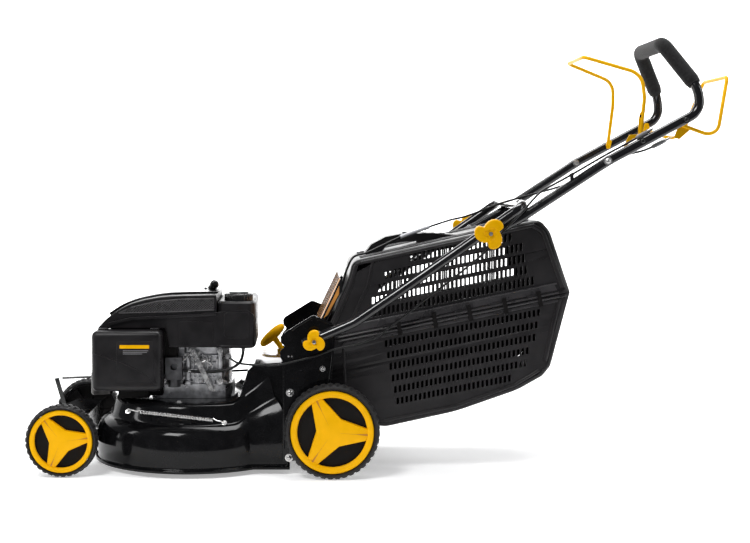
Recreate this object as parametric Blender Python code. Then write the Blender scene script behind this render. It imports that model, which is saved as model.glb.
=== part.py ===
"""Self-propelled petrol lawn mower with a rear grass box, built from its separate pieces.

Metres, +Z up. The front points to -X, the mower's left side to -Y, and the origin lies on the
ground under the middle of the whole machine. Every named object is one piece. An object whose
name starts with CUT_ is only a Boolean cutter and is not a piece.
"""
import math

import bmesh
import bpy
from mathutils import Vector

# ---- driving dimensions -----------------------------------------------------
GAP = 0.0003                      # air between pieces that touch
SHEET = 0.0025                    # pressed steel and moulded walls

REAR_AXLE = (-0.112, 0.108)       # X, Z; the height is the tyre's radius
FRONT_AXLE = (-0.726, 0.0825)
CRANK_ARM = 0.050                 # wheel crank arm, pivot to axle
CRANK_DROP = 0.007                # how far the pivot sits below the axle at the lowest cut
REAR_WHEEL_Y = (0.202, 0.250)     # inner and outer face
FRONT_WHEEL_Y = (0.182, 0.224)
TREAD_STEPS = 24                  # flats around a tyre

ENGINE_X = -0.440                 # crankshaft and blade axis
BLADE_LENGTH = 0.446
DECK_R = 0.238
DECK_REAR_X = -0.208
DECK_REAR_HALF = 0.186
DECK_BOTTOM = 0.011
PLATFORM_Z = 0.162

PLATE_Y = (0.1885, 0.1915)        # side plates carrying handle, flap and rear wheels
FLAP_HINGE = (-0.143, 0.324)
LOWER_KNOB = (-0.1527, 0.311)
UPPER_KNOB = (0.2413, 0.5537)
LOWER_TUBE_Y = 0.2055
LOWER_TUBE_R = 0.011
UPPER_TUBE_Y = 0.181
UPPER_TUBE_R = 0.011
GRIP_R = 0.017
BAIL_R = 0.004
BRAKE_PIVOT = (0.5872, 0.7610)
DRIVE_PIVOT = (0.6839, 0.8090)
CABLE_R = 0.0025

RIM_FRONT = (-0.141, 0.2985)      # where the grass box halves meet, at the front
RIM_SLOPE = math.tan(math.radians(11.6))
BOX_HALF = 0.152
BOX_FLANGE = 0.158

REAR_PIVOT = (REAR_AXLE[0] - CRANK_ARM, REAR_AXLE[1] - CRANK_DROP)
FRONT_PIVOT = (FRONT_AXLE[0] - CRANK_ARM, FRONT_AXLE[1] - CRANK_DROP)

COLOURS = {                       # base colour, metallic, roughness
    "gloss_black": ((0.012, 0.012, 0.013), 0.0, 0.18),
    "plastic": ((0.030, 0.028, 0.031), 0.0, 0.45),
    "yellow": ((0.95, 0.52, 0.01), 0.0, 0.35),
    "rubber": ((0.020, 0.020, 0.020), 0.0, 0.80),
    "foam": ((0.035, 0.034, 0.035), 0.0, 0.95),
    "cast": ((0.55, 0.55, 0.56), 0.9, 0.45),
    "steel": ((0.62, 0.62, 0.63), 1.0, 0.30),
    "cable": ((0.015, 0.015, 0.015), 0.0, 0.50),
}


# ---- tools ------------------------------------------------------------------
def clear_scene():
    for obj in list(bpy.data.objects):
        bpy.data.objects.remove(obj)


def material(kind):
    found = bpy.data.materials.get(kind)
    if found:
        return found
    colour, metallic, roughness = COLOURS[kind]
    made = bpy.data.materials.new(kind)
    made.use_nodes = True
    shader = made.node_tree.nodes["Principled BSDF"]
    shader.inputs["Base Color"].default_value = (*colour, 1.0)
    shader.inputs["Metallic"].default_value = metallic
    shader.inputs["Roughness"].default_value = roughness
    return made


def piece(name, verts, faces, kind, smooth=40):
    """A mesh object with its faces turned outward."""
    mesh = bpy.data.meshes.new(name)
    bm = bmesh.new()
    made = [bm.verts.new(v) for v in verts]
    for face in faces:
        bm.faces.new([made[i] for i in face])
    bmesh.ops.remove_doubles(bm, verts=bm.verts, dist=1e-6)
    bmesh.ops.recalc_face_normals(bm, faces=bm.faces)
    bm.to_mesh(mesh)
    bm.free()
    mesh.shade_smooth()
    mesh.set_sharp_from_angle(angle=math.radians(smooth))
    obj = bpy.data.objects.new(name, mesh)
    bpy.context.scene.collection.objects.link(obj)
    mesh.materials.append(material(kind))
    return obj


def hide_cutter(cutter):
    cutter.hide_render = True
    cutter.display_type = "WIRE"
    return cutter


def combine(obj, other, operation):
    """Join another shape to obj, or cut it away, keeping the modifier on obj."""
    hide_cutter(other)
    change = obj.modifiers.new(operation.lower(), "BOOLEAN")
    change.operation = operation
    change.solver = "EXACT"
    change.object = other
    return obj


def cut(obj, cutter):
    return combine(obj, cutter, "DIFFERENCE")


def join(obj, other):
    return combine(obj, other, "UNION")


def loft(name, rings, kind, closed=False, smooth=40, split=False):
    """Skin rings of equal length; closed joins the last ring to the first.

    split halves the quads, alike on the outer skin and the inner skin that follows it.
    """
    count = len(rings[0])
    verts = [v for ring in rings for v in ring]
    faces = []
    pairs = len(rings) if closed else len(rings) - 1
    for k in range(pairs):
        a, b = k * count, ((k + 1) % len(rings)) * count
        for i in range(count):
            j = (i + 1) % count
            if split and k < pairs // 2:
                faces += [(a + i, a + j, b + j), (a + i, b + j, b + i)]
            elif split:
                faces += [(a + i, a + j, b + i), (a + j, b + j, b + i)]
            else:
                faces.append((a + i, a + j, b + j, b + i))
    if not closed:
        faces.append(tuple(range(count)))
        faces.append(tuple(range((len(rings) - 1) * count, len(rings) * count)))
    return piece(name, verts, faces, kind, smooth)


def prism(name, outline, axis, low, high, kind, smooth=40):
    """An outline pushed along axis: (x, z) for Y, (x, y) for Z and (y, z) for X."""
    place = {"Y": lambda p, h: (p[0], h, p[1]),
             "Z": lambda p, h: (p[0], p[1], h),
             "X": lambda p, h: (h, p[0], p[1])}[axis]
    return loft(name, [[place(p, h) for p in outline] for h in (low, high)], kind,
                smooth=smooth)


def block(name, low, high, kind="plastic"):
    outline = [(low[0], low[1]), (high[0], low[1]), (high[0], high[1]), (low[0], high[1])]
    return prism(name, outline, "Z", low[2], high[2], kind)


def turned(name, profile, centre, axis, kind, steps=24, smooth=40, phase=0.0):
    """Spin a closed (radius, height) profile around an axis through centre."""
    frame = {"X": (Vector((0, 1, 0)), Vector((0, 0, 1)), Vector((1, 0, 0))),
             "Y": (Vector((0, 0, 1)), Vector((1, 0, 0)), Vector((0, 1, 0))),
             "-Y": (Vector((0, 0, 1)), Vector((-1, 0, 0)), Vector((0, -1, 0))),
             "Z": (Vector((1, 0, 0)), Vector((0, 1, 0)), Vector((0, 0, 1)))}[axis]
    across, up, along = frame
    origin = Vector(centre)
    rings = []
    for k in range(steps):
        a = 2 * math.pi * (k + phase) / steps
        out = across * math.cos(a) + up * math.sin(a)
        rings.append([tuple(origin + out * r + along * h) for r, h in profile])
    if profile[0][0] > 0 or profile[-1][0] > 0:
        return loft(name, rings, kind, closed=True, smooth=smooth)
    count = len(profile)
    verts = [v for ring in rings for v in ring]
    faces = []
    for k in range(steps):
        a, b = k * count, ((k + 1) % steps) * count
        faces.append((a, a + 1, b + 1))
        faces += [(a + i, a + i + 1, b + i + 1, b + i) for i in range(1, count - 2)]
        faces.append((a + count - 2, a + count - 1, b + count - 2))
    return piece(name, verts, faces, kind, smooth)


def rod(name, start, end, radius, kind="steel", sides=12):
    """A straight round bar between two points."""
    a, b = Vector(start), Vector(end)
    turn = (b - a).to_track_quat("Z", "Y")
    rings = []
    for p in (a, b):
        rings.append([tuple(p + turn @ Vector((radius * math.cos(t), radius * math.sin(t), 0)))
                      for t in (2 * math.pi * k / sides for k in range(sides))])
    return loft(name, rings, kind)


def bent(points, radii, steps=5):
    """A route with its inner corners rounded to the given radii."""
    pts = [Vector(p) for p in points]
    out = [pts[0]]
    for k in range(1, len(pts) - 1):
        before, here, after = pts[k - 1], pts[k], pts[k + 1]
        d0, d1 = (before - here).normalized(), (after - here).normalized()
        half = d0.angle(d1) / 2
        radius = radii[k - 1] if isinstance(radii, (list, tuple)) else radii
        reach = radius / math.tan(half)
        limit = 0.49 * min((before - here).length, (after - here).length)
        if reach > limit:
            reach, radius = limit, limit * math.tan(half)
        centre = here + (d0 + d1).normalized() * (radius / math.sin(half))
        start, end = here + d0 * reach, here + d1 * reach
        for s in range(steps + 1):
            mix = start.lerp(end, s / steps)
            out.append(centre + (mix - centre).normalized() * radius)
    out.append(pts[-1])
    return out


def smooth_route(points, spacing):
    """Evenly spaced points on a Catmull-Rom curve through the route's own points."""
    pts = [Vector(p) for p in points]
    pts = [2 * pts[0] - pts[1]] + pts + [2 * pts[-1] - pts[-2]]
    fine = []
    for k in range(1, len(pts) - 2):
        p0, p1, p2, p3 = pts[k - 1:k + 3]
        for s in range(24):
            t = s / 24
            fine.append(0.5 * ((2 * p1) + (p2 - p0) * t + (2 * p0 - 5 * p1 + 4 * p2 - p3) * t ** 2
                               + (3 * p1 - p0 - 3 * p2 + p3) * t ** 3))
    fine.append(pts[-2])
    out, run = [fine[0]], 0.0
    for a, b in zip(fine, fine[1:]):
        run += (b - a).length
        if run >= spacing:
            out.append(b)
            run = 0.0
    if (out[-1] - fine[-1]).length < spacing / 2:
        out.pop()
    out.append(fine[-1])
    return out


def pipe(name, points, radius, kind, resolution=4):
    """A round tube along points, as a bevelled curve with filled ends."""
    curve = bpy.data.curves.new(name, "CURVE")
    curve.dimensions = "3D"
    spline = curve.splines.new("POLY")
    spline.points.add(len(points) - 1)
    for slot, p in zip(spline.points, points):
        slot.co = (*p, 1.0)
    curve.bevel_depth = radius
    curve.bevel_resolution = resolution
    curve.use_fill_caps = True
    obj = bpy.data.objects.new(name, curve)
    bpy.context.scene.collection.objects.link(obj)
    curve.materials.append(material(kind))
    return obj


def rounded_rect(x0, x1, y0, y1, radius, steps=3):
    """Corner-rounded rectangle, anticlockwise."""
    out = []
    corners = ((x1 - radius, y1 - radius, 0), (x0 + radius, y1 - radius, 90),
               (x0 + radius, y0 + radius, 180), (x1 - radius, y0 + radius, 270))
    for cx, cy, start in corners:
        for s in range(steps + 1):
            a = math.radians(start + 90 * s / steps)
            out.append((cx + radius * math.cos(a), cy + radius * math.sin(a)))
    return out


def soften(obj, width, segments=2):
    bevel = obj.modifiers.new("edge", "BEVEL")
    bevel.width = width
    bevel.segments = segments
    bevel.limit_method = "ANGLE"
    bevel.angle_limit = math.radians(35)
    return obj


def sides():
    """The two sides of the machine: a name ending and a sign on Y."""
    return (("left", -1), ("right", 1))


# ---- deck -------------------------------------------------------------------
def deck_outline(inset):
    """Plan of the deck moved inward by inset: round in front, straight behind."""
    radius = DECK_R - inset
    half = DECK_REAR_HALF - inset
    rear = DECK_REAR_X - inset
    meet = math.asin(half / radius)
    points = []
    steps = 24
    for k in range(steps + 1):
        a = meet + (2 * math.pi - 2 * meet) * k / steps
        points.append((ENGINE_X + radius * math.cos(a), radius * math.sin(a)))
    for y in (-half, -half * 0.34, half * 0.34, half):
        points.append((rear, y))
    return points


def tail_rise(x):
    """How far the deck's top sweeps up towards the grass box."""
    t = min(max((x + 0.335) / 0.115, 0.0), 1.0)
    return 0.062 * t * t * (3 - 2 * t)


def deck_ring(inset, z, sweep):
    """One level of the pressing; every column rises by its place on the outer edge."""
    edge = deck_outline(0.0)
    return [(x, y, z + sweep * tail_rise(at[0]))
            for (x, y), at in zip(deck_outline(inset), edge)]


def platform_ring(scale, sweep, lift):
    """A ring of the top, shrunk towards the crankshaft."""
    ring = deck_ring(0.060, PLATFORM_Z + lift, sweep)
    return [(ENGINE_X + scale * (x - ENGINE_X), scale * y, z) for x, y, z in ring]


def build_deck():
    outer = ((0.000, 0.011, 0), (0.000, 0.017, 0), (0.006, 0.021, 0), (0.003, 0.055, 0.1),
             (0.006, 0.082, 0.35), (0.014, 0.101, 0.6), (0.026, 0.112, 0.8),
             (0.036, 0.118, 0.9), (0.043, 0.140, 1), (0.050, 0.157, 1), (0.060, PLATFORM_Z, 1))
    inner = ((0.0024, 0.011, 0), (0.0084, 0.0215, 0), (0.0055, 0.055, 0.1),
             (0.0085, 0.081, 0.35), (0.0160, 0.0990, 0.6), (0.0270, 0.1095, 0.8),
             (0.0380, 0.1160, 0.9), (0.0455, 0.1390, 1), (0.0520, 0.1550, 1),
             (0.0610, PLATFORM_Z - SHEET, 1))
    rings = [deck_ring(*row) for row in outer]
    shrink = ((0.85, 0.70), (0.72, 0.0), (0.48, 0.0), (0.28, 0.0))
    rings += [platform_ring(scale, sweep, 0.0) for scale, sweep in shrink]
    rings += [platform_ring(scale, sweep, -SHEET) for scale, sweep in reversed(shrink)]
    rings += [deck_ring(*row) for row in reversed(inner)]
    deck = loft("deck_shell", rings, "gloss_black", closed=True, split=True)
    cut(deck, block("CUT_deck_tunnel", (-0.331, -0.1355, -0.02), (-0.15, 0.1355, 0.30)))


def build_chute():
    """The tunnel that carries cut grass from the deck up to the box."""
    outline = [(-0.3295, PLATFORM_Z + 0.001), (-0.322, 0.178), (-0.306, 0.232), (-0.290, 0.2475),
               (-0.228, 0.2515), (-0.190, 0.285), (-0.152, 0.311), (-0.152, 0.157),
               (-0.206, 0.154), (-0.2100, 0.148), (-0.2100, 0.014), (-0.2130, 0.014),
               (-0.2130, 0.0), (-0.3295, 0.0)]
    inside = [(-0.340, PLATFORM_Z - 0.0025), (-0.3205, 0.1630), (-0.3035, 0.2305),
              (-0.2885, 0.2450), (-0.2270, 0.2490), (-0.1885, 0.2825), (-0.140, 0.3155),
              (-0.140, 0.1600), (-0.2070, 0.1565), (-0.2125, 0.149), (-0.2125, 0.014),
              (-0.2125, -0.01), (-0.340, -0.01)]
    chute = prism("discharge_chute", outline, "Y", -0.1352, 0.1352, "gloss_black")
    cut(chute, prism("CUT_chute_inside", inside, "Y", -0.1327, 0.1327, "plastic"))
    cut(chute, block("CUT_chute_foot", (-0.40, -0.2, -0.02), (-0.1, 0.2, 0.0140)))
    cut(chute, block("CUT_blade_sweep", (-0.34, -0.2, -0.02), (-0.2135, 0.2, 0.0600)))
    ear = [(-0.1580, 0.285), (-0.1500, 0.285), (-0.1345, 0.320), (-0.1350, 0.329),
           (-0.1410, 0.3325), (-0.1490, 0.3310), (-0.1525, 0.325)]
    join(chute, prism("CUT_hinge_ear", ear, "Y", 0.1510, 0.1545, "gloss_black"))
    join(chute, block("CUT_ear_foot", (-0.1580, 0.1335, 0.285), (-0.1525, 0.1530, 0.298)))
    cut(chute, rod("CUT_ear_hole", (FLAP_HINGE[0], 0.148, FLAP_HINGE[1]),
                   (FLAP_HINGE[0], 0.157, FLAP_HINGE[1]), 0.0044))
    cut(chute, block("CUT_belt_slot", (-0.26, -0.056, 0.128), (-0.2085, 0.056, 0.1510)))


def build_side_plates():
    outline = [(-0.224, 0.030), (-0.224, 0.262), (-0.229, 0.270), (-0.230, 0.284),
               (-0.222, 0.293), (-0.221, 0.298), (-0.228, 0.305), (-0.229, 0.317),
               (-0.224, 0.325), (-0.206, 0.336), (-0.158, 0.366), (-0.150, 0.366),
               (-0.112, 0.350), (-0.104, 0.336), (-0.108, 0.270), (-0.116, 0.200),
               (-0.136, 0.140), (-0.140, 0.086), (-0.150, 0.060), (-0.170, 0.036)]
    for side, s in sides():
        low, high = sorted((s * PLATE_Y[0], s * PLATE_Y[1]))
        plate = prism("side_plate_" + side, outline, "Y", low, high, "gloss_black")
        holes = (("drive", REAR_PIVOT, 0.0082), ("hinge", FLAP_HINGE, 0.0044),
                 ("knob", LOWER_KNOB, 0.0044))
        for label, (x, z), radius in holes:
            if (label, side) == ("hinge", "right"):
                continue                       # there the chute's ear holds the flap
            cut(plate, rod("CUT_%s_%s" % (label, side), (x, low - 0.01, z),
                           (x, high + 0.01, z), radius))


def build_front_frame():
    """Bracket on the deck's nose that carries the front wheel crank."""
    x, z = FRONT_PIVOT
    ear = [(-0.6830, 0.050), (-0.6830, 0.120), (-0.750, 0.120), (-0.778, 0.108),
           (x - 0.014, z + 0.012), (x - 0.014, z - 0.008), (x - 0.004, z - 0.013),
           (x + 0.008, z - 0.011), (x + 0.013, z + 0.004), (-0.750, 0.0960),
           (-0.700, 0.0960), (-0.690, 0.050)]
    frame = prism("front_frame", ear, "Y", -0.150, 0.150, "gloss_black")
    cut(frame, block("CUT_frame_middle", (-0.83, -0.1470, 0.0), (-0.6862, 0.1470, 0.2)))
    for side, s in sides():
        cut(frame, rod("CUT_frame_pivot_" + side, (x, s * 0.14, z), (x, s * 0.16, z), 0.0064))


# ---- wheels and height adjustment -------------------------------------------
def build_wheel(prefix, axle, radius, faces, s, side, bore):
    """Tyre and hub of one wheel; the hub's yellow cap is a rim and a three-armed star."""
    width = faces[1] - faces[0]
    radius /= math.cos(math.pi / TREAD_STEPS)      # the flats, not the corners, touch the ground
    centre = (axle[0], s * faces[0], axle[1])
    axis = "Y" if s > 0 else "-Y"
    seat = radius * 0.80
    tyre = [(seat, 0.004), (radius * 0.93, 0.0), (radius, 0.006), (radius, width - 0.006),
            (radius * 0.93, width - 0.001), (seat, width - 0.004)]
    name = "%s_%s" % (prefix, side)
    turned(name + "_tyre", tyre, centre, axis, "rubber", steps=TREAD_STEPS, phase=0.5)
    edge = seat - GAP
    web = width - 0.014
    disc = [(bore, 0.004), (bore + 0.009, 0.004), (bore + 0.009, web - 0.004),
            (edge - 0.006, web - 0.004), (edge - 0.006, 0.006), (edge, 0.006),
            (edge, width - 0.002), (edge * 0.93, width - 0.0005), (edge * 0.84, width - 0.004),
            (edge * 0.84, web + 0.002), (bore, web + 0.002)]
    hub = turned(name + "_hub", disc, centre, axis, "yellow", steps=TREAD_STEPS, phase=0.5)
    base = web + 0.0010
    star = []
    tilt = -0.07 if prefix == "rear_wheel" else 0.13
    for k in range(3):
        a = tilt + 2 * math.pi * k / 3
        for turn, reach in ((-0.20, 0.88), (0.20, 0.88), (0.62, 0.44), (1.047, 0.33),
                            (1.474, 0.44)):
            star.append((axle[0] + edge * reach * math.cos(a + turn),
                         axle[1] + edge * reach * math.sin(a + turn)))
    low, high = sorted((s * (faces[0] + base), s * (faces[0] + width - 0.0046)))
    join(hub, prism("CUT_star_" + name, star, "Y", low, high, "yellow"))


def build_wheels():
    for side, s in sides():
        build_wheel("rear_wheel", REAR_AXLE, REAR_AXLE[1], REAR_WHEEL_Y, s, side, 0.0083)
        build_wheel("front_wheel", FRONT_AXLE, FRONT_AXLE[1], FRONT_WHEEL_Y, s, side, 0.0063)


def crank_arm(name, pivot, axle, low, high, half):
    """A flat link with both ends around their axes."""
    a = math.atan2(axle[1] - pivot[1], axle[0] - pivot[0])
    outline = []
    for centre, start in ((axle, a - math.pi / 2), (pivot, a + math.pi / 2)):
        for k in range(7):
            t = start + math.pi * k / 6
            outline.append((centre[0] + half * math.cos(t), centre[1] + half * math.sin(t)))
    return prism(name, outline, "Y", low, high, "steel")


HORN_RISE = 0.095                 # tie rod pin above the crank pivot
HORN_LEAN = 0.0255                # and ahead of it
TIE_Y = 0.168


def reach(distance):
    """The point at this distance from the rear crank's pivot along the lever."""
    lean = math.radians(24.8)
    return (REAR_PIVOT[0] - distance * math.sin(lean), REAR_PIVOT[1] + distance * math.cos(lean))


def build_height_adjust():
    rear = rod("rear_axle_crank", (REAR_AXLE[0], -0.2368, REAR_AXLE[1]),
               (REAR_AXLE[0], 0.2368, REAR_AXLE[1]), 0.008, sides=16)
    join(rear, crank_arm("CUT_lever_foot", reach(0.010), reach(0.120), 0.1748, 0.1805, 0.006))
    join(rear, crank_arm("CUT_lever_tip", reach(0.112), reach(0.158), 0.1716, 0.1768, 0.009))
    for side, s in sides():
        low, high = sorted((s * 0.1795, s * 0.1845))
        join(rear, crank_arm("CUT_rear_arm_" + side, REAR_PIVOT, REAR_AXLE, low, high, 0.0145))
        cut(rear, rod("CUT_rear_arm_bore_" + side, (REAR_PIVOT[0], s * 0.170, REAR_PIVOT[1]),
                      (REAR_PIVOT[0], s * 0.19, REAR_PIVOT[1]), 0.0082, sides=16))
    x, z = REAR_PIVOT
    horn_tip = (x - HORN_LEAN, z + HORN_RISE)
    horn = prism("CUT_rear_horn", [(x - 0.006, z + 0.0105), (x + 0.004, z + 0.0105),
                                   (horn_tip[0] + 0.006, horn_tip[1] + 0.006),
                                   (horn_tip[0] - 0.007, horn_tip[1] + 0.004)],
                 "Y", 0.1795, 0.1835, "steel")
    join(rear, horn)
    join(rear, rod("CUT_rear_pin", (*horn_tip[:1], 0.164, horn_tip[1]),
                   (horn_tip[0], 0.181, horn_tip[1]), 0.003))

    x, z = FRONT_PIVOT
    front = rod("front_axle_crank", (FRONT_AXLE[0], -0.2105, FRONT_AXLE[1]),
                (FRONT_AXLE[0], 0.2105, FRONT_AXLE[1]), 0.006, sides=16)
    for side, s in sides():
        low, high = sorted((s * 0.1555, s * 0.1595))
        join(front, crank_arm("CUT_front_arm_" + side, FRONT_PIVOT, FRONT_AXLE, low, high,
                              0.011))
        join(front, rod("CUT_front_stub_" + side, (x, s * 0.1455, z), (x, s * 0.157, z), 0.006))
    tip = (x - HORN_LEAN, z + HORN_RISE)
    join(front, prism("CUT_front_horn", [(x - 0.006, z + 0.006), (x + 0.005, z + 0.006),
                                         (tip[0] + 0.005, tip[1] + 0.003),
                                         (tip[0] - 0.006, tip[1] + 0.001)],
                      "Y", 0.1555, 0.1595, "steel"))

    tie = rod("tie_rod", (tip[0] + 0.012, TIE_Y - 0.001, tip[1] + 0.0006),
              (horn_tip[0] - 0.008, TIE_Y, horn_tip[1]), 0.003)
    join(tie, turned("CUT_tie_eye", [(0.0034, -0.003), (0.0095, -0.003), (0.0095, 0.003),
                                     (0.0034, 0.003)],
                     (horn_tip[0], TIE_Y, horn_tip[1]), "Y", "steel", steps=16))

    knob = turned("height_knob", [(0.0, -0.0145), (0.028, -0.013), (0.043, -0.006),
                                  (0.046, 0.0), (0.043, 0.006), (0.028, 0.010),
                                  (0.0, 0.012)],
                  (0, 0, 0), "Y", "yellow", steps=20)
    for v in knob.data.vertices:
        x0, y0, z0 = v.co
        tilt = math.radians(47)
        along, across, thick = x0, z0 * 0.30, y0
        px = along * math.cos(tilt) - thick * math.sin(tilt)
        pz = along * math.sin(tilt) + thick * math.cos(tilt)
        v.co = (reach(0.196)[0] + px, 0.174 + across, reach(0.196)[1] + pz)
    stem = rod("CUT_knob_stem", (reach(0.128)[0], 0.174, reach(0.128)[1]),
               (reach(0.192)[0], 0.174, reach(0.192)[1]), 0.0105)
    join(knob, stem)
    cut(knob, crank_arm("CUT_knob_socket", reach(0.100), reach(0.1585), 0.1712, 0.1772, 0.0094))


def build_spring():
    """Extension spring in the deck's step, as the plain outer shape of its coil."""
    pipe("height_spring", [Vector((-0.574, -0.2105, 0.1535)), Vector((-0.5466, -0.2155, 0.1500)),
                           Vector((-0.3815, -0.2165, 0.1310)), Vector((-0.357, -0.2145, 0.1270))],
         0.0045, "steel", 2)


# ---- engine and drive -------------------------------------------------------
def build_engine():
    sump = prism("engine_sump", rounded_rect(-0.535, -0.345, -0.098, 0.088, 0.03), "Z",
                 PLATFORM_Z + GAP, 0.196, "cast")
    cut(sump, rod("CUT_sump_bore", (ENGINE_X, 0, 0.15), (ENGINE_X, 0, 0.21), 0.0135, sides=16))
    build_oil_filler(sump)
    crankcase = prism("engine_block", rounded_rect(-0.525, -0.352, -0.092, 0.080, 0.025), "Z",
                      0.196 + GAP, 0.282, "cast")
    for k in range(5):
        z = 0.205 + 0.016 * k
        join(crankcase, block("CUT_fin_%d" % k, (-0.566, -0.058, z), (-0.515, 0.062, z + 0.005)))
    join(crankcase, block("CUT_barrel", (-0.5655, -0.036, 0.203), (-0.515, 0.040, 0.275)))
    cut(crankcase, rod("CUT_block_bore", (ENGINE_X, 0, 0.19), (ENGINE_X, 0, 0.29), 0.0135,
                       sides=16))
    head = block("cylinder_head", (-0.600, -0.048, 0.200), (-0.566 - GAP, 0.052, 0.280), "cast")
    for k in range(4):
        z = 0.207 + 0.018 * k
        join(head, block("CUT_head_fin_%d" % k, (-0.618, -0.062, z), (-0.580, 0.066, z + 0.005)))
    cut(head, rod("CUT_plug_hole", (-0.64, 0.002, 0.2355), (-0.590, 0.002, 0.2355), 0.0095))
    turned("spark_plug", [(0.0, -0.006), (0.009, -0.006), (0.009, 0.0225), (0.012, 0.0230),
                          (0.012, 0.030), (0.0075, 0.031), (0.0075, 0.046), (0.0, 0.047)],
           (-0.5965, 0.002, 0.2355), "X", "steel", steps=12)
    spark = bpy.data.objects["spark_plug"]
    for v in spark.data.vertices:
        v.co.x = -0.5965 - (v.co.x + 0.5965)
    spark.data.flip_normals()

    turned("crankshaft", [(0.0, 0.0450), (0.0125, 0.0450), (0.0125, 0.3360), (0.009, 0.3365),
                          (0.009, 0.358), (0.0, 0.358)],
           (ENGINE_X, 0, 0), "Z", "steel", steps=16)
    turned("flywheel", [(0.0093, 0.3375), (0.056, 0.3375), (0.0568, 0.342), (0.0568, 0.356),
                        (0.048, 0.356), (0.048, 0.346), (0.020, 0.346), (0.020, 0.356),
                        (0.0093, 0.356)],
           (ENGINE_X, 0, 0), "Z", "cast", steps=24)
    turned("recoil_pulley", [(0.0, 0.3600), (0.042, 0.3600), (0.042, 0.3625), (0.036, 0.3650),
                             (0.036, 0.3700), (0.042, 0.3725), (0.042, 0.3750), (0.0, 0.3750)],
           (ENGINE_X, 0, 0), "Z", "plastic", steps=20)

    muffler = prism("muffler", rounded_rect(-0.678, -0.626, -0.088, 0.100, 0.012), "Z",
                    PLATFORM_Z + 0.006, 0.2215, "steel")
    join(muffler, block("CUT_muffler_neck", (-0.6300, 0.070, 0.195), (-0.5990, 0.092, 0.2150)))
    soften(muffler, 0.004, 1)
    x, y = -0.478, -0.113
    carb = block("carburettor", (x - 0.019, y - 0.017, 0.210), (x + 0.019, y + 0.0205, 0.262),
                 "cast")
    join(carb, rod("CUT_carb_bowl", (x, y, 0.192), (x, y, 0.215), 0.015))
    cut(carb, rod("CUT_carb_throat", (x, -0.14, 0.240), (x, -0.085, 0.240), 0.008))

    cover = block("air_filter_cover", (-0.662, -0.178, 0.189), (-0.5005, -0.104, 0.3285))
    soften(cover, 0.012, 3)
    inside = block("CUT_cover_inside", (-0.6585, -0.1745, 0.1925), (-0.5040, -0.09, 0.3250))
    cut(cover, soften(inside, 0.010, 3))


def shroud_outline(inset):
    """Side view of the fan housing, moved inward by inset."""
    drop = inset
    return [(-0.655 + inset, 0.3300 - 0.2 * drop), (-0.629 + inset, 0.3560 - drop),
            (-0.598 + 0.6 * inset, 0.3770 - drop), (-0.563, 0.3920 - drop),
            (-0.516, 0.4020 - drop), (-0.470, 0.4060 - drop), (-0.378 - inset, 0.4080 - drop)]


def build_shroud():
    outline = shroud_outline(0.0)
    top = outline + [(-0.378, 0.2860), (-0.489, 0.2860), (-0.497, 0.3300)]
    shroud = prism("blower_housing", top, "Y", -0.130, 0.130, "plastic")
    soften(shroud, 0.012, 2)
    inner = shroud_outline(0.003)
    hollow = inner + [(-0.381, 0.20), (-0.4865, 0.20), (-0.4935, 0.3330), (-0.640, 0.3330)]
    inside = prism("CUT_shroud_inside", hollow, "Y", -0.1265, 0.1265, "plastic")
    cut(shroud, soften(inside, 0.010, 2))
    cut(shroud, rod("CUT_rope_hole", (-0.400, 0, 0.395), (-0.400, 0, 0.43), 0.009))

    arc = shroud_outline(-0.0005)
    high = shroud_outline(-0.0055)
    strip = arc[1:] + list(reversed(high[1:]))
    cover = prism("shroud_top_cover", strip, "Y", -0.085, 0.085, "gloss_black")
    cut(cover, rod("CUT_cover_hole", (-0.400, 0, 0.395), (-0.400, 0, 0.43), 0.009))

    tank = prism("fuel_tank", rounded_rect(-0.3765, -0.288, -0.132, 0.128, 0.022), "Z",
                 0.2835, 0.3930, "plastic")
    soften(tank, 0.005, 1)
    cut(tank, prism("CUT_tank_inside", rounded_rect(-0.3735, -0.291, -0.129, 0.125, 0.020), "Z",
                    0.2865, 0.3900, "plastic"))
    neck = (-0.3278, -0.092)
    join(tank, rod("CUT_tank_neck", (*neck, 0.3915), (*neck, 0.400), 0.024, sides=20))
    cut(tank, rod("CUT_tank_mouth", (*neck, 0.380), (*neck, 0.41), 0.020, sides=20))
    turned("fuel_cap", [(0.0, 0.4005), (0.0250, 0.4005), (0.0250, 0.3935), (0.0335, 0.3935),
                        (0.0335, 0.4080), (0.029, 0.4115), (0.0, 0.4115)],
           (*neck, 0), "Z", "plastic", steps=24)

    angle = math.radians(50)
    foot = Vector((-0.400, 0.0, 0.418))
    way = Vector((math.cos(angle), 0, math.sin(angle)))
    grip = turned("starter_grip", [(0.0, -0.034), (0.008, -0.033), (0.011, -0.024),
                                   (0.008, 0.0), (0.011, 0.024), (0.008, 0.033),
                                   (0.0, 0.034)],
                  tuple(foot + way * 0.017), "Y", "plastic", steps=12)
    join(grip, rod("CUT_grip_stem", foot + way * 0.004, foot + way * 0.014, 0.007))


def build_oil_filler(sump):
    """Filler neck on the sump, with the dipstick in it."""
    base = (-0.400, 0.106)
    join(sump, block("CUT_filler_foot", (-0.410, 0.080, 0.180), (-0.390, 0.095, 0.194)))
    join(sump, turned("CUT_filler_neck", [(0.0110, 0.178), (0.0140, 0.178), (0.0140, 0.2640),
                                          (0.0170, 0.2650), (0.0170, 0.2700), (0.0110, 0.2700)],
                      (*base, 0), "Z", "cast", steps=16))
    turned("dipstick", [(0.0, 0.1850), (0.0020, 0.1850), (0.0020, 0.2640), (0.0095, 0.2645),
                        (0.0095, 0.2705), (0.0180, 0.2705), (0.0180, 0.2800), (0.0, 0.2810)],
           (*base, 0), "Z", "yellow", steps=16)


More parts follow.
